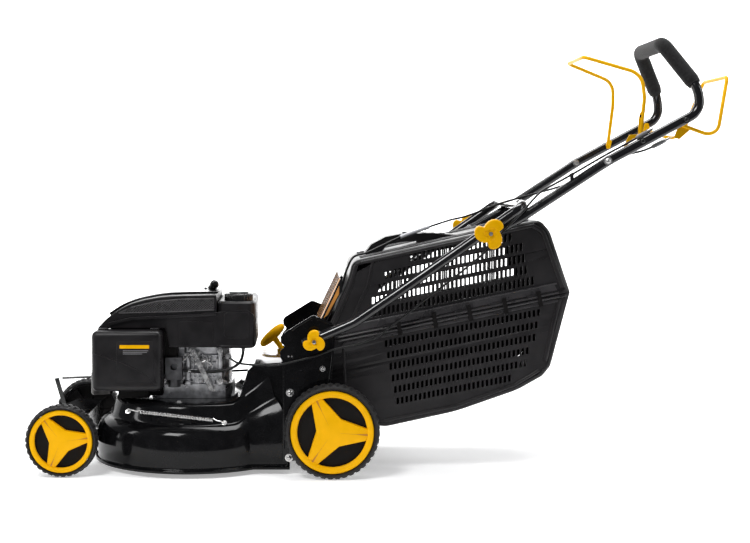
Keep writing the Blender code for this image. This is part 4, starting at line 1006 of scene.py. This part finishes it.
def build_cheeks():
    """Ledge and tank panel on each cheek, and the vents on the far one."""
    bm = bmesh.new()
    for s in (-1, 1):
        ledge = [(-0.628, 0.344), (-0.575, 0.3565), (-0.462, 0.362), (-0.38, 0.366), (-0.38, 0.3605),
                 (-0.462, 0.356), (-0.575, 0.35), (-0.626, 0.3375)]
        add_prism(bm, ledge, "Y", s * 0.1285, s * 0.1345)
        add_prism(bm, rounded([(-0.488, 0.288), (-0.296, 0.288), (-0.291, 0.362), (-0.308, 0.374),
                               (-0.378, 0.368), (-0.462, 0.361),
                               (-0.496, 0.356)], 0.006, 4), "Y", s * 0.124, s * 0.1325)
        add_prism(bm, panel(-0.465, 0.296, -0.385, 0.347, 0.004, 3), "Y", s * 0.129, s * 0.1336)
    finish("shroud_ledges", bm, "shroud", bevel=0.0012, segments=3)
    bm = bmesh.new()
    for k in range(7):
        x = -0.604 + 0.011 * k
        add_box(bm, (x, 0.128, 0.3), (x + 0.005, 0.1312, 0.338))
    for k in range(9):
        add_box(bm, (-0.36 + 0.0005 * k - 0.035, 0.128, 0.294 + 0.007 * k),
                (-0.384, 0.131, 0.2975 + 0.007 * k))
    finish("shroud_vents", bm, "hidden", bevel=0.0006)


def build_tank_seam():
    bm = bmesh.new()
    add_box(bm, (-0.37, -0.1335, 0.287), (-0.295, 0.1295, 0.2915))
    add_prism(bm, panel(-0.36, 0.308, -0.302, 0.368, 0.008, 4), "Y", -0.134, -0.13)
    finish("tank_seam", bm, "shroud", bevel=0.001, segments=3)


def build_engine_gap_shade():
    """Dark boxes behind the filter that close the view through the engine: painted shade standing in
    for the shaded parts and gaps seen there.
    """
    bm = bmesh.new()
    add_box(bm, (-0.625, -0.12, 0.26), (-0.47, -0.085, 0.34))
    add_box(bm, (-0.545, -0.11, 0.17), (-0.505, -0.07, 0.265))
    add_box(bm, (-0.608, -0.125, 0.166), (-0.535, -0.06, 0.19))
    finish("engine_gap_shade", bm, "hidden", bevel=0.004, segments=2)


def build_grille():
    """Diamond mesh along the top of both cheeks, standing off a dark recess."""
    for s, side in ((-1, "left"), (1, "right")):
        y = s * 0.1302
        floor_line = [(-0.604, 0.366), (-0.46, 0.37), (-0.384, 0.374)]
        top_line = [(-0.574, 0.38), (-0.516, 0.3935), (-0.46, 0.3985), (-0.384, 0.4)]
        shape = floor_line + list(reversed(top_line))
        bm = bmesh.new()
        add_prism(bm, shape, "Y", y - s * 0.002, y + s * 0.0006)
        finish("grille_recess_" + side, bm, "hidden")
        bm = bmesh.new()
        closed = shape + [shape[0]]
        for a, b in zip(closed, closed[1:]):
            add_flat_tube(bm, (a, b), y + s * 0.001, 0.0016)
        for lean in (-1, 1):
            for k in range(-8, 44):
                x0 = -0.62 + 0.0062 * k
                hits = []
                for a, b in zip(closed, closed[1:]):
                    f0 = (a[0] - x0) - lean * 1.15 * (a[1] - 0.36)
                    f1 = (b[0] - x0) - lean * 1.15 * (b[1] - 0.36)
                    if f0 * f1 < 0:
                        t = f0 / (f0 - f1)
                        hits.append((a[0] + (b[0] - a[0]) * t, a[1] + (b[1] - a[1]) * t))
                if len(hits) == 2:
                    add_flat_tube(bm, hits, y + s * 0.0014, 0.0009, 6)
        finish("grille_mesh_" + side, bm, "mesh")


def build_fuel_cap():
    cx, cy = -0.3278, -0.092
    bm = bmesh.new()
    steps, groove = 72, 0.0014
    rings = []
    for k in range(steps):
        a = 2 * math.pi * k / steps
        rib = 0.0 if k % 3 else groove
        out = Vector((math.cos(a), math.sin(a), 0))
        rings.append([Vector((cx, cy, 0)) + out * r + Vector((0, 0, z))
                      for r, z in ((0.025, 0.385), (0.033 - rib, 0.385), (0.0335 - rib, 0.387),
                                   (0.0335 - rib, 0.406), (0.0318 - rib, 0.4085), (0.0285, 0.4098),
                                   (0.027, 0.4082), (0.012, 0.4082), (0.01, 0.4112), (0.002, 0.4118))])
    add_loft(bm, rings, closed=True)
    add_box(bm, (cx - 0.022, cy - 0.004, 0.408), (cx + 0.022, cy + 0.004, 0.4125))
    finish("fuel_cap_ribbed", bm, "gloss", "filler_cap", ["fuel_cap"], bevel=0.0004)


def build_starter():
    """The starter grip on its guide, and the short rope that stretches between them."""
    angle = math.radians(50)
    way = Vector((math.cos(angle), 0, math.sin(angle)))
    foot = Vector((-0.4005, 0.0, 0.4115))
    bm = bmesh.new()
    add_turned(bm, [(0, -0.034), (0.006, -0.0338), (0.0095, -0.0315), (0.011, -0.025), (0.0098, -0.013),
                    (0.0088, 0.0), (0.0098, 0.013), (0.011, 0.025), (0.0095, 0.0315), (0.006, 0.0338),
                    (0, 0.034)], foot + way * 0.017, (0, 1, 0), 32)
    add_turned(bm, [(0, -0.002), (0.0075, -0.002), (0.0085, 0.004), (0.0085, 0.014), (0, 0.016)], foot,
               way, 24)
    finish("starter_handle", bm, "gloss", "starter_pull", ["starter_grip"], smooth=50)
    bm = bmesh.new()
    add_turned(bm, [(0.0045, -0.012), (0.0125, -0.012), (0.0135, -0.006), (0.0115, -0.003),
                    (0.0045, -0.003)], foot, way, 32)
    finish("rope_guide", bm, "gloss")
    bm = bmesh.new()
    start, end = foot - way * 0.012, foot + way * 0.006
    add_tube(bm, [start.lerp(end, k / 12) for k in range(13)], 0.0018, 12)
    rope = finish("starter_rope", bm, "white", None)
    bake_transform(rope)


def build_air_box():
    """Air filter cover: rounded box with a crease, louvres, latches and a plain label."""
    bm = bmesh.new()
    add_box(bm, (-0.662, -0.178, 0.189), (-0.5005, -0.104, 0.3285))
    finish("air_box_shell", bm, "shroud", nodes=["air_filter_cover"], bevel=0.013, segments=6)
    bm = bmesh.new()
    crease = smooth_route([(-0.655, -0.1778, 0.278), (-0.62, -0.1782, 0.266), (-0.58, -0.1784, 0.252),
                           (-0.54, -0.1784, 0.23), (-0.512, -0.178, 0.206)], 8)
    add_tube(bm, crease, 0.0016, 8)
    add_prism(bm, panel(-0.604, 0.21, -0.52, 0.306, 0.006, 4), "Y", -0.179, -0.177)
    for z in (0.318, 0.199):
        add_flat_tube(bm, [(-0.652, z), (-0.512, z)], -0.1755, 0.002)
    finish("air_box_relief", bm, "shroud", bevel=0.0005)
    bm = bmesh.new()
    for k in range(7):
        z = 0.2215 + 0.007 * k
        add_prism(bm, [(-0.5145 + 0.001 * k, z), (-0.5015, z), (-0.5015, z + 0.003),
                       (-0.5145 + 0.001 * k, z + 0.003)], "Y", -0.175, -0.145)
    for k in range(5):
        add_box(bm, (-0.6625, -0.165, 0.215 + 0.01 * k), (-0.6605, -0.12, 0.219 + 0.01 * k))
    finish("air_box_louvres", bm, "hidden", bevel=0.0005)
    bm = bmesh.new()
    add_prism(bm, panel(-0.5965, 0.2895, -0.529, 0.2975, 0.0012, 3), "Y", -0.1796, -0.1788)
    finish("label_bar", bm, "yellow")
    bm = bmesh.new()
    for z, x1 in ((0.2845, -0.531), (0.2808, -0.534), (0.2771, -0.545)):
        add_box(bm, (-0.589, -0.1795, z - 0.0009), (x1, -0.1788, z + 0.0009))
    finish("label_lines", bm, "grey")
    bm = bmesh.new()
    for x in (-0.64, -0.52):
        add_box(bm, (x - 0.01, -0.15, 0.3275), (x + 0.01, -0.12, 0.3325))
    finish("air_box_latches", bm, "shroud", bevel=0.0015, segments=3)


# ---- handle ------------------------------------------------------------------
TUBE = 0.011
LOWER_HALF = 0.2055
UPPER_HALF = 0.181


def build_handles():
    """Lower and upper handle tubes, the foam sleeve on the bar, bolts and tube ends."""
    half = [(x, -LOWER_HALF, z) for x, z in ((-0.176, 0.302), (-0.062, 0.3515), (0.03, 0.4145),
                                             (0.3195, 0.6175))]
    bm = bmesh.new()
    add_tube(bm, arched(half, [0.12, 0.2, 0.03]), TUBE, 32)
    finish("lower_handle_tube", bm, "tube", "handle_lower", ["lower_handle"])
    y = -UPPER_HALF
    half = [(0.227, y, 0.5385), (0.3195, y, 0.59), (0.512, y, 0.7165), (0.718, y, 0.828),
            (0.713, -0.179, 0.88), (0.65, -0.108, 0.985)]
    bm = bmesh.new()
    add_tube(bm, arched(half, [0.3, 0.3, 0.072, 0.072, 0.03]), TUBE, 32)
    finish("upper_handle_tube", bm, "tube", "handle_upper", ["upper_handle"])
    start = Vector(half[4]).lerp(Vector(half[5]), 0.1)
    path = arched([tuple(start), half[5]], [0.03])
    fine = []
    for a, b in zip(path, path[1:]):
        count = max(1, int((b - a).length / 0.006))
        fine += [a.lerp(b, k / count) for k in range(count)]
    fine.append(path[-1])
    radii = [0.0172 - 0.0024 * max(0, 1 - min(k, len(fine) - 1 - k) / 2) for k in range(len(fine))]
    bm = bmesh.new()
    add_tube(bm, fine, radii, 28)
    grip = finish("foam_grip_sleeve", bm, "foam", "handle_upper", ["foam_grip"], smooth=60)
    bm = bmesh.new()
    for s in (-1, 1):
        add_bolt(bm, (0.5094, s * 0.192, 0.7163), (0, s, 0), 0.0065, 0.005)
        add_bolt(bm, (0.5094, s * 0.17, 0.7163), (0, -s, 0), 0.0055, 0.005, "hex")
    finish("sleeve_bolts", bm, "steel", "handle_upper", smooth=30)
    bm = bmesh.new()
    for s in (-1, 1):
        add_flat_tube(bm, [(0.5, 0.7086), (0.5145, 0.7179), (0.518, 0.7198)], s * UPPER_HALF,
                      TUBE + 0.00035, 32)
        add_flat_tube(bm, [(0.2262, 0.538), (0.229, 0.5396)], s * UPPER_HALF, TUBE + 0.0006, 32)
    finish("tube_collars", bm, "tube", "handle_upper")
    bm = bmesh.new()
    for s in (-1, 1):
        add_flat_tube(bm, [(-0.1772, 0.3015), (-0.1742, 0.3028)], s * LOWER_HALF, TUBE + 0.0004, 32)
    finish("tube_plugs", bm, "plastic", "handle_lower")


def pinwheel(radius, phase):
    """Outline of a three-lobed knob: each lobe swells quickly and falls off slowly."""
    points = []
    for k in range(3):
        a = phase + 2 * math.pi * k / 3
        for turn, r in ((0.0, 0.6), (0.06, 0.74), (0.14, 0.87), (0.26, 0.95), (0.42, 0.99), (0.6, 1.0),
                        (0.8, 0.985), (1.0, 0.94), (1.2, 0.87), (1.4, 0.79), (1.6, 0.71), (1.8, 0.635),
                        (1.95, 0.59)):
            points.append((radius * r * math.cos(a + turn), radius * r * math.sin(a + turn)))
    return points


def build_knobs():
    foot = 0.2186
    for label, (x, z), radius, phase, inner in (("upper", (0.2413, 0.5537), 0.036, 0.3, 0.17),
            ("lower", (-0.1527, 0.311), 0.0265, 0.9, 0.188)):
        for side, s in SIDES:
            body = "knob_%s_%s" % (label, side)
            shape = pinwheel(radius, phase)
            bm = bmesh.new()
            rings = []
            for scale, lift in ((0.9, 0.0), (0.985, 0.0012), (1.0, 0.0035), (1.0, 0.0115),
                                (0.975, 0.0143), (0.92, 0.0158), (0.8, 0.0164), (0.5, 0.0166),
                                (0.4, 0.016), (0.36, 0.0145), (0.12, 0.0145)):
                rings.append([(x + px * scale, s * (foot + lift), z + pz * scale) for px, pz in shape])
            add_loft(bm, rings)
            finish("%s_knob_wheel_%s" % (label, side), bm, "yellow", body,
                   ["%s_knob_%s" % (label, side)], smooth=38)
            bm = bmesh.new()
            add_turned(bm, [(0, 0.012), (0.0048, 0.012), (0.0048, 0.0172), (0.0042, 0.0182),
                            (0.003, 0.0186), (0, 0.0186)], (x, s * foot, z), (0, s, 0), 24)
            finish("%s_knob_stud_%s" % (label, side), bm, "steel", body)
            bm = bmesh.new()
            add_turned(bm, disc(0.0072, 0.0045), (x, s * (inner - 0.0048), z), (0, s, 0), 6)
            add_turned(bm, disc(0.004, 0.004), (x, s * (inner - 0.0088), z), (0, s, 0), 20)
            finish("%s_knob_nut_%s" % (label, side), bm, "steel", "handle_lower", bevel=0.0005)


BRAKE_PIVOT = (0.5872, 0.761)
DRIVE_PIVOT = (0.6839, 0.809)
BAIL_ROD = 0.0043


def build_brake_bail():
    y = UPPER_HALF - TUBE - 0.0006
    x, z = BRAKE_PIVOT
    leg = [(x, -y, z), (x, -y + 0.0055, z), (x + 0.001, -y + 0.0062, z + 0.01), (0.5975, -0.16, 0.86),
           (0.5935, -0.145, 0.915), (0.4717, -0.095, 0.9571)]
    bm = bmesh.new()
    add_tube(bm, arched(leg, [0.004, 0.004, 0.05, 0.045, 0.02], 10), BAIL_ROD, 20)
    finish("brake_bail_rod", bm, "yellow_rod", "bail_brake", ["brake_bail"])
    bm = bmesh.new()
    for s in (-1, 1):
        tall = 0.067 if s < 0 else 0.012
        arm = rounded([(x - 0.0045, z - 0.01), (x + 0.005, z - 0.01), (x + 0.0095, z + tall * 0.76),
                       (x + 0.0065, z + tall), (x + 0.0005, z + tall),
                       (x - 0.003, z + tall * 0.76)], 0.0035, 4)
        add_prism(bm, arm, "Y", s * 0.1605, s * 0.1632)
    hook = rounded([(x - 0.004, z + 0.006), (x - 0.016, z + 0.006), (x - 0.031, z - 0.014),
                    (x - 0.037, z - 0.012), (x - 0.024, z + 0.015), (x - 0.004, z + 0.016)], 0.004, 4)
    add_prism(bm, hook, "Y", -0.1632, -0.1605)
    finish("brake_bail_plates", bm, "yellow_rod", "bail_brake", bevel=0.0007)
    bm = bmesh.new()
    add_turned(bm, disc(0.0034, 0.001), (x + 0.002, -0.163, z + 0.057), (0, -1, 0), 20)
    finish("brake_plate_hole", bm, "hidden", "bail_brake")


def build_drive_bail():
    y = UPPER_HALF - TUBE - 0.0006
    x, z = DRIVE_PIVOT
    leg = [(x, -y, z), (x, -y + 0.0055, z), (x - 0.002, -y + 0.0062, z - 0.011), (0.764, -0.158, 0.769),
           (0.804, -0.095, 0.9112)]
    bm = bmesh.new()
    add_tube(bm, arched(leg, [0.004, 0.005, 0.034, 0.02], 10), BAIL_ROD, 20)
    finish("drive_bail_rod", bm, "yellow_rod", "bail_drive", ["drive_bail"])
    bm = bmesh.new()
    for s in (-1, 1):
        plate = rounded([(x + 0.004, z + 0.006), (x - 0.006, z + 0.006), (x - 0.009, z - 0.012),
                         (x - 0.019, z - 0.04), (x - 0.006, z - 0.043), (x + 0.02, z - 0.02),
                         (x + 0.009, z - 0.016)], 0.004, 4)
        add_prism(bm, plate, "Y", s * 0.16, s * 0.1627)
    finish("drive_bail_plates", bm, "yellow_rod", "bail_drive", bevel=0.0007)


def build_bail_bolts():
    bm = bmesh.new()
    for px, pz in (BRAKE_PIVOT, DRIVE_PIVOT):
        for s in (-1, 1):
            add_bolt(bm, (px, s * 0.1921, pz), (0, s, 0), 0.0055, 0.004)
    finish("bail_pivot_bolts", bm, "gloss", "handle_upper", smooth=30)


CABLE = 0.0025
CABLE_SPLIT_X = 0.16
BRAKE = [(0.602, -0.178, 0.783), (0.56, -0.182, 0.759), (0.512, -0.183, 0.7335), (0.43, -0.184, 0.686),
         (0.39, -0.186, 0.664), (0.36, -0.196, 0.648), (0.335, -0.212, 0.626), (0.315, -0.2215, 0.604),
         (0.295, -0.2225, 0.584), (0.279, -0.215, 0.5655), (0.256, -0.2075, 0.54),
         (0.2331, -0.204, 0.5115), (0.16, -0.197, 0.45), (0.0849, -0.182, 0.39), (0.03, -0.178, 0.345),
         (-0.01, -0.183, 0.317), (-0.06, -0.195, 0.3), (-0.11, -0.198, 0.289), (-0.1482, -0.198, 0.275),
         (-0.2, -0.198, 0.262), (-0.234, -0.1975, 0.2545), (-0.256, -0.182, 0.2505),
         (-0.2792, -0.156, 0.2478), (-0.3253, -0.124, 0.248), (-0.345, -0.112, 0.256),
         (-0.356, -0.0965, 0.26)]
DRIVE = [(0.642, -0.166, 0.762), (0.6, -0.166, 0.742), (0.56, -0.166, 0.731), (0.512, -0.166, 0.7135),
         (0.43, -0.166, 0.668), (0.365, -0.155, 0.646), (0.287, -0.115, 0.622), (0.206, -0.085, 0.59),
         (0.16, -0.08, 0.578), (0.062, -0.085, 0.545), (0.01, -0.105, 0.523), (-0.03, -0.128, 0.506),
         (-0.062, -0.14, 0.496), (-0.079, -0.1425, 0.462), (-0.087, -0.1425, 0.432),
         (-0.104, -0.1425, 0.393), (-0.1245, -0.1425, 0.345), (-0.1332, -0.142, 0.3205),
         (-0.141, -0.1425, 0.308), (-0.147, -0.1425, 0.296), (-0.1475, -0.1425, 0.28),
         (-0.1485, -0.1425, 0.22), (-0.149, -0.142, 0.17), (-0.1475, -0.128, 0.14),
         (-0.144, -0.09, 0.118), (-0.14, -0.055, 0.11), (-0.14, -0.0368, 0.109)]


def build_adjuster(name, tip, after):
    """The threaded end of a cable at its tip, with its nut, inner wire and sleeve."""
    bm = bmesh.new()
    d = (tip - after).normalized()
    add_tube(bm, [tip + d * 0.024, tip - d * 0.002], 0.0008, 8)
    add_turned(bm, [(0, -0.006), (0.0042, -0.006), (0.0042, 0.004), (0.0028, 0.005), (0.0028, 0.012),
                    (0, 0.012)], tip, d, 20)
    add_turned(bm, disc(0.0058, 0.003, -0.002), tip, d, 6)
    finish(name + "_adjuster", bm, "steel", "handle_upper", smooth=30)
    bm = bmesh.new()
    add_turned(bm, [(0.0026, 0.0), (0.0042, 0.002), (0.0052, 0.006), (0.0052, 0.026), (0.0044, 0.029),
                    (0.0026, 0.029)], tip - d * 0.032, d, 16)
    finish(name + "_adjuster_sleeve", bm, "grey", "handle_upper", smooth=30)


def build_cables():
    """Each control cable in two lengths that bend over the two handle folds."""
    for name, route, first, last in (("brake", BRAKE, (-0.15, -0.19, 0.28), (0.02, -0.18, 0.4)),
            ("drive", DRIVE, (-0.066, -0.141, 0.49), (0.06, -0.085, 0.545))):
        fine = smooth_route(route, 8)
        split = next(k for k, p in enumerate(fine) if p.x < CABLE_SPLIT_X)
        bm = bmesh.new()
        add_tube(bm, fine[:split + 1], CABLE, 14)
        upper = finish(name + "_cable_top", bm, "cable", None, [name + "_cable_upper"])
        bm = bmesh.new()
        add_tube(bm, fine[split:], CABLE, 14)
        lower = finish(name + "_cable_base", bm, "cable", None, [name + "_cable_lower"])
        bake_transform(upper)
        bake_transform(lower)
        build_adjuster(name, fine[0], fine[3])
    bm = bmesh.new()
    add_tube(bm, smooth_route([(0.118, -0.0815, 0.564), (0.09, -0.083, 0.5548), (0.062, -0.085, 0.545),
                               (0.05, -0.089, 0.5405)], 5), 0.0044, 10)
    finish("cable_tag", bm, "white", "handle_lower")
    bm = bmesh.new()
    for k, (p, q) in enumerate(((BRAKE[3], BRAKE[2]), (DRIVE[4], DRIVE[3]))):
        a, b = Vector(p), Vector(q)
        d = (b - a).normalized()
        add_tube(bm, [a - d * 0.005, a + d * 0.005], 0.0036, 14)
        side = -1 if k == 0 else 1
        add_box(bm, (a.x - 0.004, min(a.y, a.y + side * 0.002), a.z - 0.012),
                (a.x + 0.004, max(a.y, a.y + side * 0.002) + 0.001, a.z))
    finish("cable_clips", bm, "plastic", "handle_upper", bevel=0.0006)


# ---- flap --------------------------------------------------------------------
def build_flap():
    refined("rear_flap", "gloss", "flap", 0.0008)
    x, z = -0.143, 0.324
    way = (Vector((-0.0835, 0.45)) - Vector((x, z))).normalized()
    across = Vector((-way.y, way.x))

    def at(along, out):
        p = Vector((x, z)) + way * along + across * out
        return (p.x, p.y)
    bm = bmesh.new()
    add_prism(bm, [at(0.016, 0.0063), at(0.132, 0.0063), at(0.132, 0.007), at(0.016, 0.007)], "Y",
              -0.14, 0.14)
    for s in (-1, 1):
        add_prism(bm, [at(0.034, 0.002), at(0.118, 0.002), at(0.1, -0.006),
                       at(0.046, -0.003)], "Y", s * 0.1479, s * 0.1484)
    finish("flap_label", bm, "orange", "flap")
    bm = bmesh.new()
    for y in (-0.1, -0.05, 0.0, 0.05, 0.1):
        low, high = y - 0.002, y + 0.002
        add_prism(bm, [at(0.01, 0.007), at(0.136, 0.007), at(0.134, 0.009),
                       at(0.014, 0.009)], "Y", low, high)
    add_prism(bm, [at(0.134, 0.002), at(0.1395, 0.002), at(0.1395, 0.009), at(0.134, 0.009)], "Y",
              -0.148, 0.148)
    finish("flap_ribs", bm, "gloss", "flap", bevel=0.0006)


def main():
    build_camera()
    build_stage()
    build_wheels()
    build_box()
    build_deck()
    build_plates()
    build_spring()
    build_height_parts()
    build_engine()
    build_shroud()
    build_handles()
    build_knobs()
    build_brake_bail()
    build_drive_bail()
    build_bail_bolts()
    build_cables()
    build_flap()


main()
